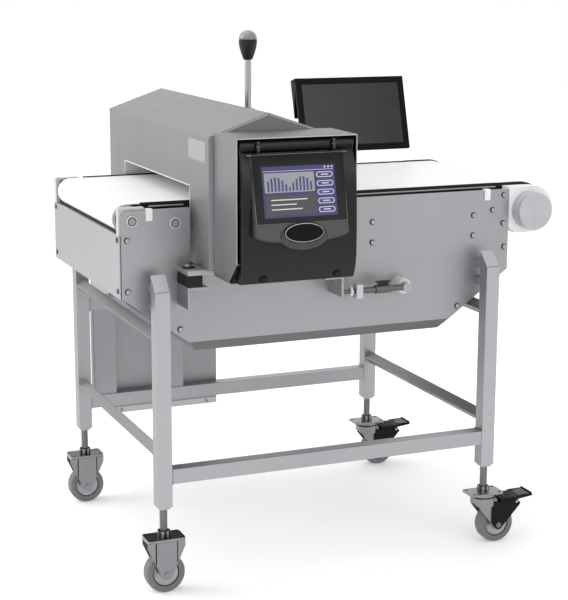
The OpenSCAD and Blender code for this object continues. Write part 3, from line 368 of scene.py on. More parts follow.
def softened(bm, edges, width, segments):
    bmesh.ops.bevel(bm, geom=edges, offset=width * mm, offset_type="OFFSET", affect="EDGES", segments=segments,
                    profile=0.5, material=-1, clamp_overlap=True)
    return bm


def isSquare(edge):
    return edge.calc_face_angle(0) > math.radians(joining["square"])


def isUpright(edge):
    first, second = edge.verts
    return abs((first.co - second.co).normalized().z) > joining["along"]


def rounded(bm, width, segments=2, angle=joining["sharp"]):
    # Every edge sharper than the angle is broken.
    sharp = [e for e in bm.edges if len(e.link_faces) == 2 and e.calc_face_angle(0) > math.radians(angle)]
    return softened(bm, sharp, width, segments)


def dressed(node, width, finish):
    # The CAD piece with its edges broken, as bending, grinding or moulding leaves them.
    bm = merged(node)
    if width:
        rounded(bm, width)
    piece = finished(bm, node + "_skin", finish, bodyOf[node])
    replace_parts(piece, node)


dressing = [
    ("front_left_leg", 2.5, "tubeUpright"), ("front_right_leg", 2.5, "tubeUpright"),
    ("rear_left_leg", 2.5, "tubeUpright"), ("rear_right_leg", 2.5, "tubeUpright"),
    ("stand_rails", 2.5, "tubeLong"), ("leg_spacers", 0.6, "tubeCross"),
    ("cabinet_posts", 1, "sheetUpright"), ("control_cabinet", 1.2, "sheetUpright"),
    ("cabinet_door", 2, "sheetUpright"), ("cabinet_latch", 0.6, "black"), ("cable_glands", 1, "black"),
    ("front_left_fork", 0.8, "zinc"), ("rear_left_fork", 0.8, "zinc"),
    ("front_right_stem", 0.8, "zinc"), ("rear_right_stem", 0.8, "zinc"),
    ("front_right_brake_cover", 1.2, "pedalBlack"), ("rear_right_brake_cover", 1.2, "pedalBlack"),
    ("front_right_pedal", 1.5, "pedalBlack"), ("rear_right_pedal", 1.5, "pedalBlack"),
    ("front_side_plate", 1, "sheet"), ("rear_side_plate", 1, "sheet"), ("infeed_cover", 1, "cover"),
    ("belly_pan", 1, "pan"), ("slider_bed", 0.8, "black"), ("conveyor_belt", 0, "belt"),
    ("tail_roller", 1, "shaft"), ("return_roller", 1, "shaft"), ("carry_roller", 1, "bright"),
    ("snub_roller", 1, "bright"), ("drum_motor", 1, "bright"), ("drum_end_blocks", 2.5, "housing"),
    ("nose_blocks", 1.2, "nose"), ("guide_clips", 0.6, "housing"), ("roller_bearings", 0.8, "white"),
    ("detector_head", 1.5, "headSheet"), ("aperture_liner", 1.5, "white"), ("search_coil", 2, "resin"),
    ("mount_brackets", 1, "sheet"), ("rubber_pads", 2.5, "rubber"), ("head_feet", 1.2, "tubeCross"),
    ("beacon_pole", 0.6, "bright"), ("hmi_enclosure", 1.2, "boxSheet"), ("monitor_post", 1, "sheetUpright"),
    ("air_pipe", 0.6, "darkSteel"), ("valve_handle", 1, "black"), ("cabinet_electronics", 1, "greyPlastic"),
]
for node, width, finish in dressing:
    dressed(node, width, finish)


def refaced(name, finish, towards):
    # Another finish on the faces that look one way: as a sheet brushed the other way has, and as painted light and
    # painted shade on that side of a piece.
    mesh = bpy.data.objects[name].data
    mesh.materials.append(finishes[finish])
    way = Vector(towards)
    for face in mesh.polygons:
        if face.normal.dot(way) > joining["along"]:
            face.material_index = len(mesh.materials) - 1


# Painted shade: the head's front and back faces take the darker gable copy of its steel.
refaced("detector_head_skin", "gable", (0, -1, 0))
refaced("detector_head_skin", "gable", (0, 1, 0))
# Painted shade: the enclosure's up-facing faces take a darker copy of its steel.
refaced("hmi_enclosure_skin", "boxTopPaintedShade", (0, 0, 1))
# Painted shade: the legs' left faces take a darker copy of their steel.
for side in sides:
    refaced(side + "_leg_skin", "legSidePaintedShade", (-1, 0, 0))
# Painted shade: the rails' upper and lower left faces take darker copies of their steel.
refaced("stand_rails_skin", "railUpperPaintedShade", (-0.7, 0, 0.7))
refaced("stand_rails_skin", "railLowerPaintedShade", (-0.7, 0, -0.7))
# Painted light: the sloped caps of the legs take a lighter copy of their steel.
for side, (x, y) in sides.items():
    way = -1 if y == frontY else 1
    refaced(side + "_leg_skin", "legCapPaintedLight", (0, way * 0.7, 0.7))
# Painted reflection: the rigid forks' top faces are black, for the dark reflection on the zinc top plate.
for side in rigidSides:
    refaced(side + "_fork_skin", "blackNut", (0, 0, 1))


def inBox(place, low, high):
    return all(low[i] <= place[i] <= high[i] for i in range(3))


def nudged(name, low, high, move):
    # Moves the points of a dressed piece that lie in a box.
    low, high = at(*low), at(*high)
    for vert in bpy.data.objects[name].data.vertices:
        if inBox(vert.co, low, high):
            vert.co += Vector(move) * mm


def refacedIn(name, finish, low, high):
    # Another finish on the faces whose middles lie in a box.
    mesh = bpy.data.objects[name].data
    mesh.materials.append(finishes[finish])
    low, high = at(*low), at(*high)
    for face in mesh.polygons:
        if inBox(face.center, low, high):
            face.material_index = len(mesh.materials) - 1


# The air pipe's flange, nut, bracket edge and cap, each as the two corners of a box.
pipeFinishes = (
    ("white", (665, 38.8, 700), (715, 80, 760)), ("tubeCross", (676, 12, 714), (706, 38.8, 746)),
    ("bracketEdge", (540, 10, 705), (566, 45, 752)), ("white", (525, 10, 714), (538, 45, 746)),
)
for finish, low, high in pipeFinishes:
    refacedIn("air_pipe_skin", finish, low, high)

# Small moves of one end or face of a piece: two corners of a box round its points, and the move.
moves = (
    ("nose_blocks", (-70, 116, 895), (5, 126, 975), (0, -24, 0)),
    ("nose_blocks", (-70, 647.8, 895), (5, 657.8, 975), (0, 24, 0)),
    ("valve_handle", (590, 10, 744), (655, 45, 765), (0, 0, -4)),
    ("belly_pan", (900, 0, 590), (1030, 800, 598), (-14, 0, 0)),
    ("infeed_cover", (-67, 70, 740), (-61.6, 82, 910), (0, -3.4, 0)),
    ("infeed_cover", (-67, 692, 740), (-61.6, 704, 910), (0, 3.4, 0)),
)
for node, low, high, move in moves:
    nudged(node + "_skin", low, high, move)

# The side plates' infeed ends stop short of the end cover's face.
plateEnd = {"from": -48, "share": 14 / 18}


def shortenPlates():
    start = at(plateEnd["from"], 0, 0).x
    for name in ("front_side_plate_skin", "rear_side_plate_skin"):
        for vert in bpy.data.objects[name].data.vertices:
            past = start - vert.co.x
            if past > 0:
                vert.co.x = start - past * plateEnd["share"]


shortenPlates()
print("pieces dressed:", len(dressing))


def looseParts(node):
    # Centre and size of each separate solid of a CAD node.
    bm = merged(node)
    left = set(bm.verts)
    found = []
    while left:
        group, edge = set(), [left.pop()]
        while edge:
            vert = edge.pop()
            group.add(vert)
            for link in vert.link_edges:
                other = link.other_vert(vert)
                if other in left:
                    left.discard(other)
                    edge.append(other)
        low = Vector(min(v.co[i] for v in group) for i in range(3))
        high = Vector(max(v.co[i] for v in group) for i in range(3))
        found.append(((low + high) / 2, high - low))
    bm.free()
    return sorted(found, key=lambda part: tuple(part[0]))


def spun(outline, steps, closed=False):
    # A turned part: outline of (radius, height) points in millimetres, spun about Z.
    bm = bmesh.new()
    verts = [bm.verts.new((r * mm, 0, z * mm)) for r, z in outline]
    edges = [bm.edges.new(pair) for pair in zip(verts, verts[1:])]
    if closed:
        edges.append(bm.edges.new((verts[-1], verts[0])))
    bmesh.ops.spin(bm, geom=verts + edges, cent=(0, 0, 0), axis=(0, 0, 1), dvec=(0, 0, 0),
                   angle=math.tau, steps=steps, use_merge=True, use_duplicate=False)
    bmesh.ops.remove_doubles(bm, verts=bm.verts, dist=joining["near"] * mm)
    bmesh.ops.recalc_face_normals(bm, faces=bm.faces)
    return bm


def cut(bm, place, way, **cleared):
    # Cuts a piece along a plane, clears one side and closes the other.
    bmesh.ops.bisect_plane(bm, geom=bm.verts[:] + bm.edges[:] + bm.faces[:], plane_co=place, plane_no=way, **cleared)
    bmesh.ops.holes_fill(bm, edges=[e for e in bm.edges if len(e.link_faces) == 1], sides=0)


def spread(count, apart):
    # Places of a row, about its middle.
    return [(number - (count - 1) / 2) * apart for number in range(count)]


alongX = Matrix.Rotation(math.radians(90), 4, "Y")
alongY = Matrix.Rotation(math.radians(-90), 4, "X")
backY = Matrix.Rotation(math.radians(90), 4, "X")
backX = Matrix.Rotation(math.radians(-90), 4, "Y")


def put(bm, place, turn=None):
    bmesh.ops.transform(bm, matrix=Matrix.Translation(place) @ (turn or Matrix.Identity(4)), verts=bm.verts)
    return bm


def joined(parts):
    # Several bmeshes as one.
    whole = bmesh.new()
    for part in parts:
        mesh = bpy.data.meshes.new("part")
        part.to_mesh(mesh)
        part.free()
        whole.from_mesh(mesh)
        bpy.data.meshes.remove(mesh)
    return whole


def brick(size, width=0.0, segments=2):
    # A block in millimetres about its middle, with its edges rounded.
    bm = bmesh.new()
    bmesh.ops.create_cube(bm, size=1)
    bmesh.ops.scale(bm, vec=Vector(size) * mm, verts=bm.verts)
    if width:
        rounded(bm, width, segments)
    return bm


def disc(radius, height, width, steps=48):
    bm = bmesh.new()
    bmesh.ops.create_cone(bm, cap_ends=True, segments=steps, radius1=radius * mm, radius2=radius * mm,
                          depth=height * mm)
    if width:
        rounded(bm, width, angle=60)
    return bm


def hexagon(flats, height):
    bm = bmesh.new()
    corner = flats / math.sqrt(3) * mm
    bmesh.ops.create_cone(bm, cap_ends=True, segments=6, radius1=corner, radius2=corner, depth=height * mm)
    return bm


# Caster wheels: a grey tread with a bright dished disc on a bearing.
axleHeight = 50.8
wheel = {
    "tread": [(33.5, -14.5), (34.6, -17.8), (37, -18.4), (45.5, -18.7), (49, -17), (50.5, -12.5), (50.8, 0),
              (50.5, 12.5), (49, 17), (45.5, 18.7), (37, 18.4), (34.6, 17.8), (33.5, 14.5)],
    "hub": [(6.1, -20.9), (12.4, -20.9), (13.4, -19.8), (14, -15), (16, -13.2), (24, -12.6), (29, -15.2),
            (31.4, -15.2), (32.8, -12), (34, -11), (34, 11), (32.8, 12), (31.4, 15.2), (29, 15.2), (24, 12.6),
            (16, 13.2), (14, 15), (13.4, 19.8), (12.4, 20.9), (6.1, 20.9)],
}


def makeWheel(node):
    low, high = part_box(node)
    centre = (low + high) / 2
    tread = finished(put(spun(wheel["tread"], 96, True), centre, alongY), node + "_tread", "tread", bodyOf[node])
    hub = put(spun(wheel["hub"], 72, True), centre, alongY)
    hub = finished(hub, node + "_hub", "hubDisc", bodyOf[node])
    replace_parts(tread, node)
    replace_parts(hub, node)


for side in sides:
    makeWheel(side + "_wheel")
print("wheels ready")


# Levelling stems: rolled thread, black nut, dark discs as painted shade in the screw holes of the caster's top plate,
# and a plug in the leg.
stem = {
    "pitch": 2.54,
    "low": 161.4,
    "high": 217.2,
    "root": 9.3,
    "crest": 9.9,
    "wall": 0.8,
    "nut": (28.2, 16),          # across the flats, height
    "seat": 145,
    "holes": (39, 22, 4.3, 0.5),  # distance along and across, radius, depth
    "plug": (29, 6),
}


def makeStem(name, x, y):
    outline = []
    height = stem["low"]
    while height < stem["high"] - stem["pitch"]:
        outline += [(stem["root"], height), (stem["crest"], height + stem["pitch"] * 0.4),
                    (stem["crest"], height + stem["pitch"] * 0.6)]
        height += stem["pitch"]
    outline.append((stem["root"], height))
    inner = stem["root"] - stem["wall"]
    outline = [(inner, stem["low"])] + outline + [(inner, height)]
    finished(put(spun(outline, 36, True), at(x, y, 0)), name + "_thread", "darkSteel", "stand", angle=70)
    flats, tall = stem["nut"]
    nut = hexagon(flats, tall)
    rounded(nut, 1.0, 2, angle=50)
    finished(put(nut, at(x, y, stem["seat"] + tall / 2)), name + "_nut", "blackNut", "stand", angle=40)
    # Dark discs for the screw holes: painted shade in the holes.
    holeX, holeY, holeR, deep = stem["holes"]
    holes = [put(disc(holeR, deep, 0.1, 24), at(x + wayX * holeX, y + wayY * holeY, stem["seat"] + 0.1))
             for wayX in (-1, 1) for wayY in (-1, 1)]
    finished(joined(holes), name + "_plate_holes", "blackDeep", "stand")


for side, (x, y) in sides.items():
    makeStem(side, x, y)


def makePlugs():
    wide, tall = stem["plug"]
    plugs = []
    for centre, size in looseParts("leg_plugs"):
        low = centre.z - size.z / 2
        plug = brick((wide, wide, tall), 0)
        softened(plug, [e for e in plug.edges if min(v.co.z for v in e.verts) < 0], 1.2, 2)
        plugs.append(put(plug, Vector((centre.x, centre.y, low + tall / 2 * mm))))
    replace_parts(finished(joined(plugs), "leg_plug_blocks", "tubeUpright", bodyOf["leg_plugs"]), "leg_plugs")


# Fine dark line where each leg's sloped cap meets the tube.
capSeam = {"size": (34.5, 0.5, 1.5), "height": 771.2, "faces": (-0.05, 773.85)}


def makeCapSeams():
    seams = [put(brick(capSeam["size"], 0.1), at(x, y, capSeam["height"]))
             for x in (leftX, rightX) for y in capSeam["faces"]]
    finished(joined(seams), "leg_cap_seams", "darkSteel", "stand")


makePlugs()
makeCapSeams()
print("stems ready")


def extruded(points, move):
    # A solid from a flat outline of places, drawn along a move.
    bm = bmesh.new()
    side = bm.faces.new([bm.verts.new(point) for point in points])
    grown = bmesh.ops.extrude_face_region(bm, geom=[side])
    moved = [v for v in grown["geom"] if isinstance(v, bmesh.types.BMVert)]
    bmesh.ops.translate(bm, vec=Vector(move) * mm, verts=moved)
    bmesh.ops.recalc_face_normals(bm, faces=bm.faces)
    return bm


def extrudedAlongY(outline, near, far):
    return extruded([Vector((x, near, z)) * mm for x, z in outline], (0, far - near, 0))


# Rigid casters: a raised rib down each cheek, dark strips beside it and under the top plate as painted shade, and
# rounded axle heads.
rigid = {
    "rib": [(-26.5, 136.5), (26.5, 136.5), (26.5, 76), (14.5, 53), (13, 46), (9, 40.5), (4, 38), (-4, 38), (-9, 40.5),
            (-13, 46), (-14.5, 53), (-26.5, 76)],
    "ribY": (24.1, 26.9),
    "ribEdge": 1.3,
    "head": (7.4, 3.2, 26.4),       # radius, depth and seat of the axle heads
    # The seams and the line below are dark strips, painted shade beside the rib and under the top plate.
    "seam": (28.2, 2.4, 108, 54),   # distance from the middle, width, middle height, length
    "line": (138.2, 2.2, 94),       # height, thickness and length of the dark line under the top plate
    "dark": (24.6, 0.6),            # place and depth of the seams and the line
}


def makeRigidTrim(side):
    x, y = sides[side]
    body = bodyOf[side + "_fork"]
    radius, deep, seat = rigid["head"]
    apart, wide, middle, long = rigid["seam"]
    height, thick, across = rigid["line"]
    out, thin = rigid["dark"]
    ribs, heads, seams = [], [], []
    for way in (-1, 1):
        rib = extrudedAlongY(rigid["rib"], way * rigid["ribY"][0], way * rigid["ribY"][1])
        outer = way * (rigid["ribY"][1] - 0.1) * mm
        rim = [e for e in rib.edges if all(v.co.y * way > outer * way for v in e.verts)]
        ribs.append(put(softened(rib, rim, rigid["ribEdge"], 3), at(x, y, 0)))
        heads.append(put(disc(radius, deep, 1.2, 32), at(x, y + way * (seat + deep / 2), axleHeight), backY))
        for place in (-apart, apart):
            seams.append(put(brick((wide, thin, long), 0.2), at(x + place, y + way * out, middle)))
        seams.append(put(brick((across, thin, thick), 0.2), at(x, y + way * out, height)))
    finished(joined(ribs), side + "_fork_ribs", "zinc", body, angle=40)
    finished(joined(heads), side + "_axle_heads", "zinc", body, angle=40)
    finished(joined(seams), side + "_fork_seams", "blackDeep", body)


for side in rigidSides:
    makeRigidTrim(side)
print("rigid casters ready")


# Swivel forks: a pressed cup under the ball race, slanting cheeks and dark axle heads.
swivel = {
    "cup": [(6.6, 131.4), (32.6, 131.4), (34, 129.8), (34, 108), (31.2, 108), (31.2, 127.4), (6.6, 127.4)],
    "slant": ((-34, 118), (4, 70)),
    "cheek": [(-22, 127.5), (30, 127.5), (51.5, 54), (50, 45), (45, 39), (38, 36), (31, 37), (25, 42), (21, 50),
              (4, 70), (-22, 103)],
    "cheekY": (21.5, 24.5),
    "trail": 36,
    "axle": (6, 8, 30),             # radius, head radius and head's outer face
    "ring": [(32, 131.9), (33.6, 131.9), (33.6, 134.2), (32, 134.2)],
}


def makeSwivelFork(side):
    node = side + "_fork"
    x, y = sides[side]
    cup = spun(swivel["cup"], 72, True)
    (backAlong, backHeight), (foreAlong, foreHeight) = swivel["slant"]
    across = (backHeight - foreHeight, 0, foreAlong - backAlong)
    cut(cup, Vector((backAlong, 0, backHeight)) * mm, across, clear_inner=True)
    bmesh.ops.recalc_face_normals(cup, faces=cup.faces)
    parts = [put(cup, at(x, y, 0))]
    near, far = swivel["cheekY"]
    for way in (-1, 1):
        cheek = extrudedAlongY(swivel["cheek"], way * near, way * far)
        rounded(cheek, 0.7, 2)
        parts.append(put(cheek, at(x, y, 0)))
    radius, head, out = swivel["axle"]
    axleX = x + swivel["trail"]
    parts.append(put(disc(radius, 2 * far - 1, 0), at(axleX, y, axleHeight), backY))
    fork = finished(joined(parts), node + "_shell", "zinc", bodyOf[node], angle=35)
    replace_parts(fork, node)
    heads = [put(disc(head, out - far, 1.4, 36), at(axleX, y + way * (out + far) / 2, axleHeight), backY)
             for way in (-1, 1)]
    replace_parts(finished(joined(heads), side + "_axle_heads", "boltSteel", bodyOf[node], angle=40), node)
    ring = put(spun(swivel["ring"], 72, True), at(x, y, 0))
    finished(ring, side + "_race_line", "blackDeep", "stand", angle=50)


# Swivel brakes: ribs across the pedal, raised edges, a grey pad and a small pin end.
brake = {
    "half": 28.4,                  # half the pedal's width
    "top": 124.5,
    "ribs": (44, 56, 68, 80),      # places along the pedal, from the stem
    "rib": (4.5, 2.4, 0.8),        # length, height and rise above the top
    "edge": (112, 44, 3.2, 2.2, 3.4),   # place, length, width, height and rise
    "end": (137, 3.4, 5.4, 5.2),   # place, length, height and rise
    "pad": (118, 30, 0.6, 2.6, -6),     # place, length, thickness, rise and slope
    "pin": (91, 112, 4.2, 2.4),    # place, height, radius and length
}


def makeBrake(side):
    x, y = sides[side]
    body = bodyOf[side + "_pedal"]
    half, top = brake["half"], brake["top"]
    long, tall, rise = brake["rib"]
    ribs = [put(brick((long, 2 * half - 3, tall), 1.0), at(x + place, y, top + rise)) for place in brake["ribs"]]
    place, long, wide, tall, rise = brake["edge"]
    for way in (-1, 1):
        ribs.append(put(brick((long, wide, tall), 0.9), at(x + place, y + way * (half - 2.2), top + rise)))
    place, long, tall, rise = brake["end"]
    ribs.append(put(brick((long, 2 * half, tall), 1.2), at(x + place, y, top + rise)))
    finished(joined(ribs), side + "_pedal_ribs", "pedalBlack", body)
    place, long, thick, rise, slope = brake["pad"]
    pad = brick((long, 2 * half - 8, thick), 0.2)
    put(pad, at(x + place, y, top + rise), Matrix.Rotation(math.radians(slope), 4, "Y"))
    finished(pad, side + "_pedal_pad", "padGrey", body)
    place, height, radius, long = brake["pin"]
    pins = [put(disc(radius, long, 1.2, 32), at(x + place, y + way * (half + 1), height), backY) for way in (-1, 1)]
    finished(joined(pins), side + "_pedal_pin", "boltHead", body)


for side in brakedSides:
    makeSwivelFork(side)
    makeBrake(side)
print("brakes ready")


# Dark grooves between the roller shafts and their white bushings, and the tail roller's ends.
shaftSeat = {
    "places": ((-33.1, 937), (77, 927.1)),
    "faces": ((71.6, backY), (702.2, alongY)),
    "groove": [(9.4, -0.5), (11.2, -0.5), (11.2, 0.3), (9.4, 0.3)],
    "ends": ((121.8, alongY), (652, backY)),
    "end": [(9.6, -1), (30, -1), (31.5, 0.4), (33.2, 0.4), (34, 1.2), (34, 4.6), (9.6, 4.6)],
    "dark": [(26.4, -1.3), (28.4, -1.3), (28.4, -0.8), (26.4, -0.8)],
}


def makeShaftGrooves():
    rings = [put(spun(shaftSeat["groove"], 48, True), at(x, y, z), turn)
             for x, z in shaftSeat["places"] for y, turn in shaftSeat["faces"]]
    finished(joined(rings), "bushing_grooves", "blackDeep", "stand")
    x, z = shaftSeat["places"][0]
    for name, outline, finish in (("tail_roller_ends", "end", "greyPlastic"),
                                  ("tail_roller_rings", "dark", "blackDeep")):
        ends = [put(spun(shaftSeat[outline], 64, True), at(x, y, z), turn) for y, turn in shaftSeat["ends"]]
        finished(joined(ends), name, finish, bodyOf["tail_roller"], angle=40)


makeShaftGrooves()
print("shaft grooves ready")


# Weld beads where rails meet legs and posts meet rails.
weld = {
    "bead": 3.2,
    "out": 1.4,
    "tube": 38,
    "sideTube": 26.9,
    "off": 1.2,                                   # from the leg's face to the bead's middle
    "long": ((frontY, 302.5), (rearY, 302.5), (rearY, 593)),   # places across and heights of the long rails
    "side": (354, 651),                           # heights of the side rails
}


def beadFrame(size, turn=0.0):
    # A rounded ring of weld around a square tube of this size, about X.
    bm = brick((weld["bead"], size + 2 * weld["out"], size + 2 * weld["out"]), 1.3, 3)
    bmesh.ops.rotate(bm, cent=(0, 0, 0), matrix=Matrix.Rotation(math.radians(turn), 3, "X"), verts=bm.verts)
    return bm


def makeWelds():
    past = weld["tube"] / 2 + weld["off"]
    beads = [put(beadFrame(weld["tube"]), at(x, y, z))
             for y, z in weld["long"] for x in (leftX + past, rightX - past)]
    quarter = Matrix.Rotation(math.radians(90), 4, "Z")
    beads += [put(beadFrame(weld["sideTube"], 45), at(x, y, z), quarter)
              for x in (leftX, rightX) for z in weld["side"] for y in (frontY + past, rearY - past)]
    finished(joined(beads), "weld_beads", "weld", "stand", angle=60)


makeWelds()
print("welds ready")


# Bolts and screws.
bolt = {
    "plate": (11.4, 4.9, 0.8),     # across the flats, height, and where the head starts
    "washer": (7.9, 0.9),          # radius and thickness
    "cover": (6.6, 2.4, 1.25),     # radius, height, and how far the middle lies under the CAD's face
    "foot": (14, 8.4, 3.2),        # like the plate's, on a block
    "block": (30, 24, 3.2),
}


def boltHead(flats, head, start):
    # Hexagon head with a chamfered crown, pointing along +Z from its seat.
    bm = hexagon(flats, head - start)
    rounded(bm, 0.9, 3, angle=50)
    return put(bm, Vector((0, 0, (start + head) / 2 * mm)))


def makeFrameBolts():
    heads, washers = [], []
    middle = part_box("front_side_plate")[1].y
    for centre, size in looseParts("frame_bolts"):
        axis = min(range(3), key=lambda i: size[i])
        if axis == 1:
            near = centre.y < middle
            seat = centre + Vector((0, size.y / 2 if near else -size.y / 2, 0))
            turn = backY if near else alongY
            radius, thick = bolt["washer"]
            heads.append(put(boltHead(*bolt["plate"]), seat, turn))
            # The washers are black: a painted shadow round the plate bolts' heads.
            washers.append(put(put(disc(radius, thick, 0.3), Vector((0, 0, thick / 2 * mm))), seat, turn))
        elif axis == 0:
            seat = centre + Vector((size.x / 2, 0, 0))
            radius, tall, under = bolt["cover"]
            washers.append(put(disc(radius, tall, 0.9), seat - Vector((under * mm, 0, 0)), backX))
        else:
            seat = centre - Vector((0, 0, size.z / 2))
            heads.append(put(boltHead(*bolt["foot"]), seat))
            thick = bolt["block"][2]
            washers.append(put(put(brick(bolt["block"], 0.7), Vector((0, 0, thick / 2 * mm))), seat))
    bolts = finished(joined(heads), "frame_bolt_heads", "boltHead", bodyOf["frame_bolts"])
    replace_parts(bolts, "frame_bolts")
    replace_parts(finished(joined(washers), "frame_bolt_washers", "blackNut", bodyOf["frame_bolts"]), "frame_bolts")


makeFrameBolts()
print("bolts ready")


# Operator panel: a black moulding, a raised leaning frame with a screen, a bare badge and four locks.
panel = {
    "rimY": -182,                         # front edge of the steel enclosure
    "sides": (148, 440),
    "front": [(16, 1152), (7, 1149), (2, 1143), (1, 1136), (4, 1128), (7, 1121), (0, 1106), (-8, 1085),
              (-14, 1060), (-18, 1000), (-20, 940), (-20, 872), (-15, 840), (-4, 815.5)],
    "foot": [(27, 815.5), (27, 833), (-0.5, 861.5), (-0.5, 866), (12, 866), (12, 1090), (26, 1128), (26, 1152)],
    "slope": [(0.4, 861.4), (52, 811.6), (34, 811.6), (0.4, 846)],   # black seal under the enclosure's slope
    "edge": 8,
    "proud": 1,
    "lean": 13,
    "place": (290, 1117),                 # middle and top of the frame
    "frame": (119, 187, 207, 36),         # half width, side length, length at the middle, depth
    "frameEdge": 4,
    "frameSteps": 24,
    "glass": (184, 119),
    "glassDrop": 28,                      # from the frame's top to the glass
    "border": (230, 160, 9, 2),           # width, height, and how proud its top and bottom are
    "borderRim": 2.5,
    "borderSlope": 12,
    "badge": (2, 194, 60.5, 31, 6),       # across, down the frame, half width, half height, lean
    "badgeRing": (49.5, 22.6, 9),         # half width, half height, and how far above the oval's middle
    "badgeDeep": 30,
    "badgeParts": (("groove", 2.5, 0.6, -1.4, "blackDeep"), ("ring", 0, 0.8, -0.9, "bright"),
                   ("plate", -1.7, 0.5, -0.7, "blackDeep")),   # size past the ring, edge, lift and finish
    "header": (1131, 10),                 # height and radius of the black bar over the frame
    "locks": [(193, 1136, 6), (384, 1137, 6), (203, 827, -24), (392, 828, -24)],   # across, height, tip
    "lining": (143.4, 443.6, 20, 280, 1011, 1153.2),   # left, right, depth, height, its middle, and the top's
    "liningDepth": 11.5,                  # of its middle, behind the enclosure's front edge
    "block": (3.4, 12, 14, 868, 6.6),     # width, depth, height, height of the middle, and its depth
    "lip": (14, 2.6, 5.0, 1.6),           # width beyond the frame, height, thickness, and how proud
}

panelBody = bodyOf["hmi_bezel"]


def leaning(u, v, out=0.0):
    # Place on the leaning frame: u to the right of its middle, v down from its top, out towards the user.
    lean = math.radians(panel["lean"])
    middle, top = panel["place"]
    y = panel["rimY"] - panel["proud"] - v * math.sin(lean) - out * math.cos(lean)
    return at(middle + u, y, top - v * math.cos(lean) + out * math.sin(lean))


leanTurn = Matrix.Rotation(math.radians(90 - panel["lean"]), 4, "X")


def extrudedAlongX(outline, left, right):
    return extruded([at(left, y, z) for y, z in outline], (right - left, 0, 0))


def onScreen(u, v, width, height, thick, out, corner=0.0):
    # A thin plate lying on the leaning frame, with rounded corners where wanted.
    bm = brick((width, height, thick))
    if corner:
        softened(bm, [e for e in bm.edges if isUpright(e)], corner, 6)
    return put(bm, leaning(u, v, out), leanTurn)


def makeMoulding():
    outline = [(panel["rimY"] + depth, z) for depth, z in panel["front"] + panel["foot"]]
    bm = extrudedAlongX(outline, *panel["sides"])
    inside = at(0, panel["rimY"] + 20, 0).y
    rim = [e for e in bm.edges if abs(e.verts[0].co.x - e.verts[1].co.x) < 1e-6 and isSquare(e)
           and max(v.co.y for v in e.verts) < inside and all(f.normal.y < 0.2 for f in e.link_faces)]
    softened(bm, rim, panel["edge"], 5)
    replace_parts(finished(bm, "panel_moulding", "blackSmooth", panelBody, angle=40), "hmi_bezel")


def makeScreenFrame():
    # The raised frame, whose lower edge is a shallow arc.
    halfWide, sideLong, middleLong, deep = panel["frame"]
    steps = panel["frameSteps"]
    curve = [(halfWide * math.cos(step * math.pi / steps), -sideLong - (middleLong - sideLong)
              * math.sin(step * math.pi / steps)) for step in range(steps + 1)]
    outline = [(-halfWide, 0), (halfWide, 0)] + curve
    bm = extruded([Vector((x, y, 0)) * mm for x, y in reversed(outline)], (0, 0, -deep))
    softened(bm, [e for e in bm.edges if all(v.co.z > -1e-6 for v in e.verts)], panel["frameEdge"], 5)
    put(bm, leaning(0, 0), leanTurn)
    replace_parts(finished(bm, "screen_frame", "blackFrame", panelBody, angle=40), "hmi_bezel")


def makePanelEdges():
    # The dark lining inside the steel, the bar over the frame, and a light strip on the frame's upper lip as a
    # painted highlight.
    left, right, deep, tall, height, topHeight = panel["lining"]
    y = panel["rimY"] + panel["liningDepth"]
    lining = [put(brick((1, deep, tall), 0.3), at(x, y, height)) for x in (left + 0.6, right - 0.6)]
    lining.append(put(brick((right - left, deep, 1), 0.3), at((left + right) / 2, y, topHeight)))
    wide, deep, tall, height, inset = panel["block"]
    for x in (left + 2.5, right - 1.9):
        lining.append(put(brick((wide, deep, tall), 0.3), at(x, panel["rimY"] + inset, height)))
    slope = [(panel["rimY"] + y, z) for y, z in panel["slope"]]
    lining.append(extrudedAlongX(slope, left - 2.6, right + 2.6))
    finished(joined(lining), "panel_gasket", "blackDeep", panelBody)
    height, radius = panel["header"]
    left, right = panel["sides"]
    bar = disc(radius, right - left - 10, 2.5, 40)
    put(bar, at((left + right) / 2, panel["rimY"] + radius + 1, height), alongX)
    finished(bar, "panel_header", "blackDeep", panelBody, angle=50)
    beyond, tall, thick, proud = panel["lip"]
    lip = onScreen(0, 0.6, 2 * panel["frame"][0] + beyond, tall, thick, proud, 0.6)
    finished(lip, "frame_lip", "lip", panelBody)


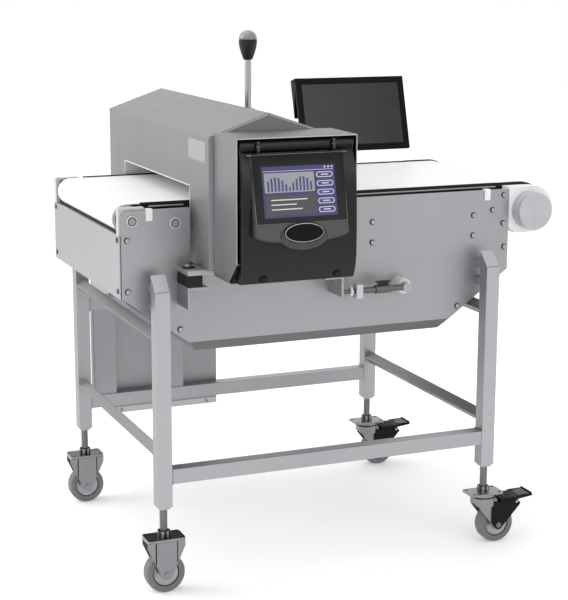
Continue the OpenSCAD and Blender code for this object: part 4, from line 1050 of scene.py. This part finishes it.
def makeScreenBorder():
    # A border that stands proud at the top and slopes in to the glass.
    width, height = panel["glass"]
    wide, tall, proudTop, proudBottom = panel["border"]
    bm = brick((wide, tall, proudTop + 1))
    front = [f for f in bm.faces if f.normal.z > 0.99]
    bmesh.ops.inset_region(bm, faces=front, thickness=panel["borderRim"] * mm, depth=0)
    bmesh.ops.inset_region(bm, faces=front, thickness=panel["borderSlope"] * mm, depth=-(proudTop - 0.6) * mm)
    inner = front[0].verts[:]
    now = [max(abs(v.co[i]) for v in inner) for i in (0, 1)]
    bmesh.ops.scale(bm, vec=(width / 2 * mm / now[0], height / 2 * mm / now[1], 1), verts=inner)
    drop = panel["glassDrop"] + height / 2 - (tall / 2 + 1)
    bmesh.ops.translate(bm, vec=(0, -drop * mm, 0), verts=inner)
    lowRim = [v for v in bm.verts if v.co.z > (proudTop / 2 - 1) * mm and v.co.y < -(height / 2 + 14) * mm]
    bmesh.ops.translate(bm, vec=(0, 0, -(proudTop - proudBottom) * mm), verts=lowRim)
    rim = [e for e in bm.edges if all(v.co.z > -2 * mm for v in e.verts) and isSquare(e)
           and not any(v in inner for v in e.verts)]
    softened(bm, rim, 1.2, 3)
    put(bm, leaning(0, tall / 2 + 1, (proudTop + 1) / 2 - 1), leanTurn)
    finished(bm, "screen_border", "blackRecess", panelBody, angle=30)
    # Light strips at the border's sides and foot: painted highlights on its edges.
    edges = [onScreen(way * wide / 2, tall / 2 + 1, 1.0, tall, 3.0, 2.2) for way in (-1, 1)]
    edges.append(onScreen(0, tall + 1, wide, 1.0, 3.0, 1.4))
    finished(joined(edges), "screen_border_edge", "lip", panelBody)


# A plain layout for the screen, in millimetres across from its middle and down from its top.
layout = {
    "thick": 0.3,
    "lift": 0.95,                         # of the flat areas; what lies on them is one thickness higher
    "line": (11, 6),                      # drop of the line under the header, and its two margins
    "marks": (86, 9, 5.4, 5, 3.6, 1.7),   # first place, spacing, drop, width, height and corner
    "windows": (-24, 126, 46, 3),         # place, width, height and corner
    "windowDrops": (38, 90),
    "bars": (13, -78, 9, 5, 58),          # number, first place, spacing, width and foot
    "barHeights": (7, 26, 0.7, 0.42),     # least, swing, and the start and step of the wave
    "rows": (92, 64, 78),
    "row": (-74, 78, 11, 2.6, 1.2),       # left end, drop, spacing, height and corner
    "keys": (5, 66, 23, 20.5),            # number, place, drop and spacing
    "key": ((42, 13, 6), (38, 9.6, 4.5), (18, 2.4, 1.1)),   # rim, face and stroke: width, height, corner
}


def makeScreen():
    width, height = panel["glass"]
    top = panel["glassDrop"]
    body = bodyOf["hmi_display"]
    glass = onScreen(0, top + height / 2, width, height, 1.0, 0.3)
    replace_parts(finished(glass, "display_glass", "screenBack", body), "hmi_display")
    thick, lift = layout["thick"], layout["lift"]
    pale, grey, dark, accent = [], [], [], []
    drop, margin = layout["line"]
    pale.append(onScreen(0, top + drop, width - margin, 1.0, thick, lift))
    first, apart, drop, wide, tall, corner = layout["marks"]
    for number in range(3):
        pale.append(onScreen(first - number * apart, top + drop, wide, tall, thick, lift, corner))
    place, wide, tall, corner = layout["windows"]
    for pieces, drop in zip((grey, dark), layout["windowDrops"]):
        pieces.append(onScreen(place, top + drop, wide, tall, thick, lift, corner))
    count, first, apart, wide, foot = layout["bars"]
    least, swing, start, step = layout["barHeights"]
    for number in range(count):
        tall = least + swing * abs(math.sin(start + number * step))
        accent.append(onScreen(first + number * apart, top + foot - tall / 2, wide, tall, thick, lift + thick))
    left, drop, apart, tall, corner = layout["row"]
    for row, long in enumerate(layout["rows"]):
        pale.append(onScreen(left + long / 2, top + drop + row * apart, long, tall, thick, lift + thick, corner))
    count, place, drop, apart = layout["keys"]
    for row in range(count):
        for level, (wide, tall, corner) in enumerate(layout["key"]):
            piece = onScreen(place, top + drop + row * apart, wide, tall, thick, lift + level * thick, corner)
            (accent if level == 1 else pale).append(piece)
    for name, pieces, finish in (("keys", pale, "screenPale"), ("chart", grey, "screenGrey"),
                                 ("window", dark, "screenDark"), ("bars", accent, "screenAccent")):
        finished(joined(pieces), "display_" + name, finish, body)


def oval(halfWidth, halfHeight, thick, width):
    # A stretched disc with a rounded rim.
    bm = bmesh.new()
    bmesh.ops.create_cone(bm, cap_ends=True, segments=72, radius1=1, radius2=1, depth=thick * mm)
    bmesh.ops.scale(bm, vec=(halfWidth * mm, halfHeight * mm, 1), verts=bm.verts)
    rim = [e for e in bm.edges if isSquare(e) and e.verts[0].co.z * e.verts[1].co.z > 0
           and e.verts[0].co.z > 0]
    return softened(bm, rim, width, 4)


def makeBadge():
    # A raised oval that hangs below the frame, with a bare black plate in a light ring.
    across, down, halfWidth, halfHeight, lean = panel["badge"]
    deep = panel["badgeDeep"]
    place = leaning(across, down, 4.0)
    turn = Matrix.Rotation(math.radians(90 - lean), 4, "X")

    def laid(bm, rise, out, name, finish):
        put(put(bm, Vector((0, rise, out)) * mm), place, turn)
        finished(bm, "badge_" + name, finish, panelBody, angle=40)

    laid(oval(halfWidth, halfHeight, deep, 5.5), 0, -deep / 2, "surround", "blackFrame")
    ringWide, ringTall, rise = panel["badgeRing"]
    for name, past, edge, out, finish in panel["badgeParts"]:
        laid(oval(ringWide + past, ringTall + past, 3, edge), rise, out, name, finish)


# Winged locks at the top and plain round ones at the bottom of the panel.
lock = {
    "seat": (9, 2.2),
    "cap": (6.4, 7),
    "wing": (9, 11, 6, 7.5, 5),      # size, distance from the middle and height
    "lowSeat": (10.5, 2.0),
    "lowCap": (7.4, 2.6, 1.4),
    "slot": (8.5, 1.6, 0.8, 2.7),
    "parting": 1000,                 # height that tells the upper locks from the lower
}


def makeLocks():
    rings, caps, slots = [], [], []
    depthAt = sorted((z, depth) for depth, z in panel["front"])
    for x, z, tip in panel["locks"]:
        below = max(p for p in depthAt if p[0] <= z)
        above = min(p for p in depthAt if p[0] > z)
        depth = below[1] + (above[1] - below[1]) * (z - below[0]) / (above[0] - below[0])
        place = at(x, panel["rimY"] + depth, z)
        turn = Matrix.Rotation(math.radians(90 - tip), 4, "X")

        def laid(bm, along, out):
            return put(put(bm, Vector((0, along, out)) * mm), place, turn)

        if z > lock["parting"]:
            rings.append(laid(disc(*lock["seat"], 0.9), 0, 0))
            radius, tall = lock["cap"]
            caps.append(laid(disc(radius, tall, 2.0), 0, tall / 2))
            *size, along, out = lock["wing"]
            caps += [laid(brick(size, 2.6, 3), way * along, out) for way in (-1, 1)]
        else:
            rings.append(laid(disc(*lock["lowSeat"], 0.5), 0, 0))
            radius, tall, out = lock["lowCap"]
            rings.append(laid(disc(radius, tall, 0.9), 0, out))
            *size, out = lock["slot"]
            slots.append(laid(brick(size, 0.2), 0, out))
    finished(joined(rings), "panel_lock_rings", "blackDeep", panelBody)
    finished(joined(caps), "panel_locks", "blackGloss", panelBody)
    finished(joined(slots), "panel_lock_slots", "blackFrame", panelBody)


# Painted highlight: bright strips along the cut edge of the sheet round the panel.
enclosure = {"x": (140, 447), "rimY": panel["rimY"], "z": (862, 1157), "wall": 3}


def makeRimHighlight():
    left, right = enclosure["x"]
    low, high = enclosure["z"]
    wall = enclosure["wall"]
    bars = [((left + right) / 2, high - wall / 2, right - left - 1, wall - 0.8),
            (left + wall / 2, (low + high) / 2, wall - 0.8, high - low - 1),
            (right - wall / 2, (low + high) / 2, wall - 0.8, high - low - 1)]
    rim = [put(brick((wide, 0.8, tall), 0.3), at(x, enclosure["rimY"] - 0.1, z)) for x, z, wide, tall in bars]
    finished(joined(rim), "enclosure_rim", "rim", bodyOf["hmi_enclosure"])


makeRimHighlight()
makeMoulding()
makeScreenFrame()
makePanelEdges()
makeScreenBorder()
makeScreen()
makeBadge()
makeLocks()
print("operator panel ready")


# Beacon: an egg-shaped cup under a frosted dome, on a bright pole with a gasket at the roof.
beacon = {
    "cup": (10.5, 24.5, 54.2),     # foot radius, rim radius, height
    "cupSteps": 14,
    "rim": 2.2,
    "domeSteps": 14,
    "slot": (1.6, 1.2, 9),
    "slotPlace": (-5.2, -7.2, 62),   # from the pole's middle, and below the cup
}


def makeBeacon():
    low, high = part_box("beacon_cup")
    foot = Vector(((low.x + high.x) / 2, (low.y + high.y) / 2, low.z))
    small, large, tall = beacon["cup"]
    steps = beacon["cupSteps"]
    outline = [(0, 0), (small - 1.5, 0)]
    for step in range(1, steps + 1):
        share = step / steps
        outline.append((small + (large - small) * math.sin(math.pi / 2 * share), tall * share - beacon["rim"]))
    outline += [(large - 0.7, tall - beacon["rim"] + 0.6), (large - 0.7, tall - 0.8), (large - 1.2, tall), (0, tall)]
    cup = finished(put(spun(outline, 64), foot), "beacon_shell", "black", bodyOf["beacon_cup"], angle=40)
    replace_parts(cup, "beacon_cup")
    low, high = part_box("beacon_dome")
    radius, height = (high.x - low.x) / 2 / mm, (high.z - low.z) / mm
    count = beacon["domeSteps"]
    curve = [(radius * math.cos(math.pi / 2 * i / count), height * math.sin(math.pi / 2 * i / count))
             for i in range(count)]
    outline = [(0, 0), (radius - 0.6, 0)] + curve[1:] + [(0, height)]
    dome = finished(put(spun(outline, 64), Vector((foot.x, foot.y, low.z))), "beacon_lens", "frosted",
                    bodyOf["beacon_dome"], angle=45)
    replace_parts(dome, "beacon_dome")
    x, y, drop = beacon["slotPlace"]
    slot = put(brick(beacon["slot"], 0.3), foot + Vector((x, y, -(tall + drop))) * mm)
    finished(slot, "beacon_pole_slot", "blackDeep", bodyOf["beacon_pole"])


makeBeacon()
print("beacon ready")


# Monitor: a slim black frame round a dark grey screen, with a vented back on a tilt lug.
monitor = {
    "lean": 16,
    "size": (350, 219, 34),
    "centre": (835, 670, 1119),
    "corner": 4,
    "rim": 19,
    "frameDeep": 9,
    "back": (64, 56, 0.8),           # how much narrower and lower than the case, and how far it runs in
    "vents": (14, 3, 38, 1.6, 9, 52),   # number, width, height, depth, spacing and rise
    "screws": (37.5, -14, 3.2, 1.8),    # distance from their middle, its rise, radius and height
    "lug": 702,                      # where the tilt lug starts behind the case
}


def onMonitor(bm, u, v, out):
    # u across, v up, out towards the viewer from the monitor's front face.
    turn = Matrix.Rotation(math.radians(90 - monitor["lean"]), 4, "X")
    return put(put(bm, Vector((u, v, out)) * mm), at(*monitor["centre"]), turn)


def makeMonitor():
    width, height, deep = monitor["size"]
    body = bodyOf["monitor"]
    case = brick((width, height, monitor["frameDeep"]))
    front = [f for f in case.faces if f.normal.z > 0.99]
    bmesh.ops.inset_region(case, faces=front, thickness=monitor["rim"] * mm, depth=0)
    bmesh.ops.inset_region(case, faces=front, thickness=1.2 * mm, depth=-1.8 * mm)
    softened(case, [e for e in case.edges if isUpright(e)
                    and max(abs(e.verts[0].co.x), abs(e.verts[1].co.x)) > (width / 2 - 1) * mm],
             monitor["corner"], 5)
    outer = [e for e in case.edges if isSquare(e)
             and min(max(abs(v.co.x) / width, abs(v.co.y) / height) for v in e.verts) > 0.47 * mm]
    softened(case, outer, 1.2, 3)
    parts = [onMonitor(case, 0, 0, -monitor["frameDeep"] / 2 - 0.1)]
    less, lower, into = monitor["back"]
    back = brick((width - less, height - lower, deep - monitor["frameDeep"] + into))
    softened(back, [e for e in back.edges if min(v.co.z for v in e.verts) < 0], 5, 3)
    parts.append(onMonitor(back, 0, 0, -(deep + monitor["frameDeep"]) / 2))
    count, *size, apart, rise = monitor["vents"]
    parts += [onMonitor(brick(size, 0.5), u, rise, -deep + 0.5) for u in spread(count, apart)]
    out, rise, radius, tall = monitor["screws"]
    for u in (-out, out):
        for v in (-out, out):
            parts.append(onMonitor(disc(radius, tall, 0.7, 24), u, v + rise, -deep + 0.4))
    lug = merged("monitor")
    cut(lug, (0, at(0, monitor["lug"], 0).y, 0), (0, -1, 0), clear_outer=True)
    parts.append(lug)
    whole = finished(joined(parts), "monitor_case", "monitorBlack", body, angle=40)
    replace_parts(whole, "monitor")
    rim = monitor["rim"]
    glass = onMonitor(brick((width - 2 * rim, height - 2 * rim, 1.0), 0.2), 0, 0, -1.5)
    finished(glass, "monitor_screen", "screenOff", body)


makeMonitor()
print("monitor ready")


# Detector head: a bare label plate, and bright strips along the gable and by the enclosure as painted highlights.
head = {
    "left": 128,
    "right": 440,
    "front": -28,
    "back": 801.8,
    "floor": 822,
    "eaves": 1146,
    "ridge": (284, 1199),
    "plate": (-10, 116, 1082, 1132),     # near, far, bottom and top of the label
    "rivet": (2.0, 1.0, 5),              # radius, height and place in from the label's corners
    "seam": (1.2, 2.6, 3, 4),            # width and height, how much shorter than the edge, and how far under it
    # The bright strip by the enclosure is a painted highlight.
    "strip": (11, 0.6, 6.2),             # width, thickness and place of the bright strip by the enclosure
}


def makeHeadTrim():
    near, far, low, high = head["plate"]
    plate = brick((1.0, far - near, high - low), 0.3)
    put(plate, at(head["left"] - 0.4, (near + far) / 2, (low + high) / 2))
    finished(plate, "head_label_plate", "label", "stand")
    radius, tall, inset = head["rivet"]
    rivets = [put(disc(radius, tall, 0.4, 20), at(head["left"] - 1.0, y, z), backX)
              for y in (near + inset, far - inset) for z in (low + inset, high - inset)]
    finished(joined(rivets), "head_label_rivets", "bright", "stand")


def makeGableHighlights():
    # Bright strips along the gable edges from the eaves to the ridge, painted highlights where the edges catch the
    # light, and one by the enclosure.
    seams = []
    ridgeX, ridgeZ = head["ridge"]
    thick, tall, less, under = head["seam"]
    for y, way in ((head["front"], -1), (head["back"], 1)):
        for x in (head["left"], head["right"]):
            length = math.hypot(ridgeX - x, ridgeZ - head["eaves"])
            slope = math.atan((ridgeZ - head["eaves"]) / (ridgeX - x))
            place = at((x + ridgeX) / 2, y + way * 0.1, (head["eaves"] + ridgeZ) / 2 - under)
            seams.append(put(brick((length - less, thick, tall), 0.5), place, Matrix.Rotation(-slope, 4, "Y")))
    wide, thick, inset = head["strip"]
    strip = brick((wide, thick, head["eaves"] - head["floor"] - 4), 0.2)
    seams.append(put(strip, at(head["left"] + inset, head["front"] - 0.1, (head["eaves"] + head["floor"]) / 2)))
    finished(joined(seams), "gable_seams", "rim", "stand")


# Belt edges: black guide strips on the bed and thin steel bars beside them, clear of the head.
strips = {
    "seat": 964.2,
    "guide": (4, 1000, 8.4, 10.6),        # left, right, width and height
    "guideAcross": (124.6, 649.2),
    "bar": (5, 3.6),
    "barAcross": (114, 659.8),
    "bars": ((22, 112), (456, 998)),
    "drum": (1079, 905),
    "guard": (998, 69.8, 61),             # where the drum guards start, and their outer and inner radius
    "guardAcross": ((117, 125.6), (648.2, 656.8)),
    "guardTurn": (90, 2.5, 20),           # start, step and number of steps round the drum
}


def lying(left, right, y, wide, tall, edge):
    # A strip along X that lies on the bed.
    return put(brick((right - left, wide, tall), edge), at((left + right) / 2, y, strips["seat"] + tall / 2))


def makeGuideStrips():
    left, right, wide, tall = strips["guide"]
    guides = [lying(left, right, y, wide, tall, 1.2) for y in strips["guideAcross"]]
    x, z = strips["drum"]
    start, outer, inner = strips["guard"]
    first, step, count = strips["guardTurn"]
    turns = [math.radians(first - i * step) for i in range(count + 1)]
    outline = [(start, strips["seat"]), (start, z + outer)]
    outline += [(x + outer * math.cos(t), z + outer * math.sin(t)) for t in turns]
    outline += [(x + inner * math.cos(t), z + inner * math.sin(t)) for t in reversed(turns)]
    for near, far in strips["guardAcross"]:
        guides.append(put(extrudedAlongY(outline, near, far), at(0, 0, 0)))
    finished(joined(guides), "belt_guide_strips", "rubber", "stand")
    bars = [lying(left, right, y, *strips["bar"], 0.5) for y in strips["barAcross"] for left, right in strips["bars"]]
    finished(joined(bars), "belt_guide_bars", "rim", "stand")


# Infeed corner: a dark strip down the joint of the end cover and the side plates, a painted shadow line where the
# cover's end sits back.
corner = {"x": -62.4, "z": (746, 901), "faces": (74.9, 698.9), "section": (1.5, 0.6)}


def makeCornerShadows():
    low, high = corner["z"]
    seams = [put(brick((*corner["section"], high - low), 0.1), at(corner["x"], y, (low + high) / 2))
             for y in corner["faces"]]
    finished(joined(seams), "cover_seams", "blackDeep", "stand")


makeHeadTrim()
makeGableHighlights()
makeGuideStrips()
makeCornerShadows()
print("head trim ready")


# Rear cabinet: a folded lower lip with screws towards the stand, a door gasket and a nut on the gland.
cabinet = {
    "x": (108, 438),
    "front": 776,
    "back": 956,
    "z": (250, 630),
    "lip": (2.4, 18),
    "screws": (140, 273, 405),
    "screw": (4.5, 3),
    "gasket": (3, 1.2),           # width and thickness
    "gland": (125, 806),
    "glandNut": (21.477, 6, 3.4),   # across the flats, height, and how far its middle hangs
}


def makeCabinetTrim():
    left, right = cabinet["x"]
    low, high = cabinet["z"]
    middle, half = (left + right) / 2, (low + high) / 2
    thick, tall = cabinet["lip"]
    lip = put(brick((right - left, thick, tall), 0.8), at(middle, cabinet["front"] - 1.0, low + tall / 2))
    finished(lip, "cabinet_lip", "bright", "stand")
    heads = [put(disc(*cabinet["screw"], 1), at(x, cabinet["front"] - 3.2, low + tall / 2), backY)
             for x in cabinet["screws"]]
    finished(joined(heads), "cabinet_lip_screws", "zinc", "stand")
    wide, thick = cabinet["gasket"]
    level, upright = (right - left - 4, thick, wide), (wide, thick, high - low - 4)
    bars = ((level, middle, low + wide), (level, middle, high - wide),
            (upright, left + wide, half), (upright, right - wide, half))
    gasket = [put(brick(size, 0.3), at(x, cabinet["back"] - 0.4, z)) for size, x, z in bars]
    finished(joined(gasket), "cabinet_gasket", "rubber", "stand")
    flats, tall, drop = cabinet["glandNut"]
    nut = hexagon(flats, tall)
    rounded(nut, 0.8)
    finished(put(nut, at(*cabinet["gland"], low - drop)), "gland_nut", "black", "stand")


makeCabinetTrim()
print("cabinet trim ready")


# Cabinet unit, seen with the door open: vents and screws on the supply, rail modules with terminals below them.
unit = {
    "supply": (158, 273, 300, 430),        # left, right, bottom and top of the supply
    "face": 878.0,                         # the supply's face towards the door
    "vents": (9, 10, 84),                  # number, spacing and height above the supply's bottom
    "vent": (3.2, 1.0, 60),
    "screw": (2.6, 1.6, 7),                # radius, height and place in from the corners
    "terminals": (9, 14, 11, 20),          # number, first place, spacing and height above the bottom
    "terminal": (3, 1.4, 8.6),             # radius, height and distance from the face
    "block": (10, 8, 18),                  # how much narrower than the supply, depth and height
    "rail": (158, 388, 530, 555, 831),     # left, right, bottom, top and y of the upper block's face
    "modules": ((22, 5), (34, 3), (17, 3)),   # width and number
    "module": (38, 46, 16),                # depth, height and distance of the middle from the face
    "window": (1.2, 12, 35, 4),            # depth, height, distance from the face and rise
    "pin": (2.2, 1.2, 35.2),
    "margin": 4,                           # of the rail's left end, the screws and the duct
    "groupGap": 6,                         # between modules of one width and the next
    "duct": (30, 218, 40, 400, -23),       # width, height, depth, height of its middle, and place from the face
    "slots": (18, 11.5, 2.6, -19.6),       # number, spacing, height, and place from the face
}


def makeUnit():
    body = bodyOf["cabinet_electronics"]
    left, right, low, high = unit["supply"]
    face, middle = unit["face"], (left + right) / 2
    count, apart, rise = unit["vents"]
    vents = [put(brick(unit["vent"], 0.4), at(middle + x, face, low + rise)) for x in spread(count, apart)]
    finished(joined(vents), "supply_vents", "blackDeep", body)
    radius, tall, inset = unit["screw"]
    screws = [put(disc(radius, tall, 0.6, 24), at(x, face + 0.6, z), alongY)
              for x in (left + inset, right - inset) for z in (low + inset, high - inset)]
    count, first, apart, rise = unit["terminals"]
    radius, tall, out = unit["terminal"]
    screws += [put(disc(radius, tall, 0.5, 20), at(left + first + i * apart, face + out, low + rise), alongY)
               for i in range(count)]
    less, deep, tall = unit["block"]
    block = put(brick((right - left - less, deep, tall), 1.2), at(middle, face + deep / 2, low + rise))
    finished(block, "supply_terminals", "black", body)
    left, right, low, high, face = unit["rail"]
    middle = (low + high) / 2
    deep, tall, out = unit["module"]
    thick, windowTall, windowOut, rise = unit["window"]
    radius, long, pinOut = unit["pin"]
    margin = unit["margin"]
    cases, dark = [], []
    x = left + margin
    for wide, number in unit["modules"]:
        for _ in range(number):
            if x + wide > right:
                break
            along = x + wide / 2
            cases.append(put(brick((wide - 1, deep, tall), 1.4), at(along, face + out, middle)))
            dark.append(put(brick((wide - 6, thick, windowTall), 0.4), at(along, face + windowOut, middle + rise)))
            for z in (low - margin, high + margin):
                screws.append(put(disc(radius, long, 0.4, 20), at(along, face + pinOut, z), alongY))
            x += wide
        x += unit["groupGap"]
    finished(joined(cases), "rail_modules", "greyPlastic", body)
    finished(joined(dark), "rail_module_windows", "blackFrame", body)
    finished(joined(screws), "unit_screws", "boltHead", body)
    wide, tall, deep, height, out = unit["duct"]
    x = right - wide / 2 + margin
    finished(put(brick((wide, deep, tall), 1.2), at(x, face + out, height)), "wire_duct", "label", body)
    count, apart, tall, out = unit["slots"]
    slots = [put(brick((wide + 0.6, deep - 6, tall), 0.4), at(x, face + out, height + z))
             for z in spread(count, apart)]
    finished(joined(slots), "wire_duct_slots", "blackFrame", body)


makeUnit()
print("cabinet unit ready")


# Drum motor end: a flat turned grey cap with one groove.
drumCap = {
    "centre": (1079, 33.5, 905),
    "outline": [(0, 0), (49, 0), (50, 1), (50, 8), (49.4, 8.6), (47.5, 8.6), (47.5, 12), (49.4, 12), (50, 12.6),
                (50, 41), (0, 41)],
}


def makeDrumCap():
    cap = put(spun(drumCap["outline"], 96), at(*drumCap["centre"]), alongY)
    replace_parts(finished(cap, "drum_cap", "greyPlastic", bodyOf["drum_motor_cap"], angle=30), "drum_motor_cap")


makeDrumCap()
print("drum cap ready")


# The studio: a pale floor and soft lights.
studio = {
    "floor": 14.0,
    "floorGrey": 0.9,
    "floorGlow": 0.2,
    "surround": 0.95,              # brightness of the soft light from all round
    "lean": (-0.15, 0.2, 0.02),   # how much brighter it is towards +X, +Y and overhead
    "key": ("key", (-3.4, 1.2, 2.6), 2.4, 60),
    "fill": ("fill", (1.2, -4.2, 2.6), 2.6, 35),
    "top": ("top", (-0.6, 0.4, 4.2), 3.2, 30),
}


def makeStudio():
    bm = bmesh.new()
    bmesh.ops.create_grid(bm, x_segments=8, y_segments=8, size=studio["floor"])
    finish = Finish("studio_floor")
    fine = finish.noise(finish.place, 30.0)
    finish.set("Base Color", finish.blend(fine, shade(studio["floorGrey"] - 0.01), shade(studio["floorGrey"] + 0.01)))
    finish.set("Roughness", 0.8)
    finish.set("Emission Color", (1, 1, 1, 1))
    finish.set("Emission Strength", studio["floorGlow"])
    mesh = bpy.data.meshes.new("floor")
    bm.to_mesh(mesh)
    bm.free()
    mesh.materials.append(finish.material)
    floor = bpy.data.objects.new("floor", mesh)
    bpy.context.collection.objects.link(floor)
    world = bpy.data.worlds.new("studio")
    world.use_nodes = True
    sky = Graph(world.node_tree)
    way = sky.add("ShaderNodeTexCoord", out="Generated")
    light = sky.add("ShaderNodeVectorMath", {"operation": "DOT_PRODUCT"}, {0: way, 1: studio["lean"]}, out="Value")
    soft = sky.add("ShaderNodeBackground", values={"Color": (1, 1, 1, 1), "Strength": light + studio["surround"]})
    seen = sky.add("ShaderNodeBackground", values={"Color": (1, 1, 1, 1), "Strength": 1.0})
    direct = sky.add("ShaderNodeLightPath", out="Is Camera Ray")
    both = sky.add("ShaderNodeMixShader", values={0: direct, 1: soft, 2: seen})
    sky.add("ShaderNodeOutputWorld", values={"Surface": both}, out=None)
    bpy.context.scene.world = world
    bpy.context.scene.view_settings.view_transform = "Standard"
    for name, place, size, power in (studio["key"], studio["fill"], studio["top"]):
        data = bpy.data.lights.new(name, "AREA")
        data.energy = power
        data.size = size
        lamp = bpy.data.objects.new(name, data)
        lamp.location = place
        lamp.rotation_mode = "QUATERNION"
        lamp.rotation_quaternion = (Vector((0, 0, 0.7)) - Vector(place)).to_track_quat("-Z", "Y")
        bpy.context.collection.objects.link(lamp)


makeStudio()
print("studio ready")
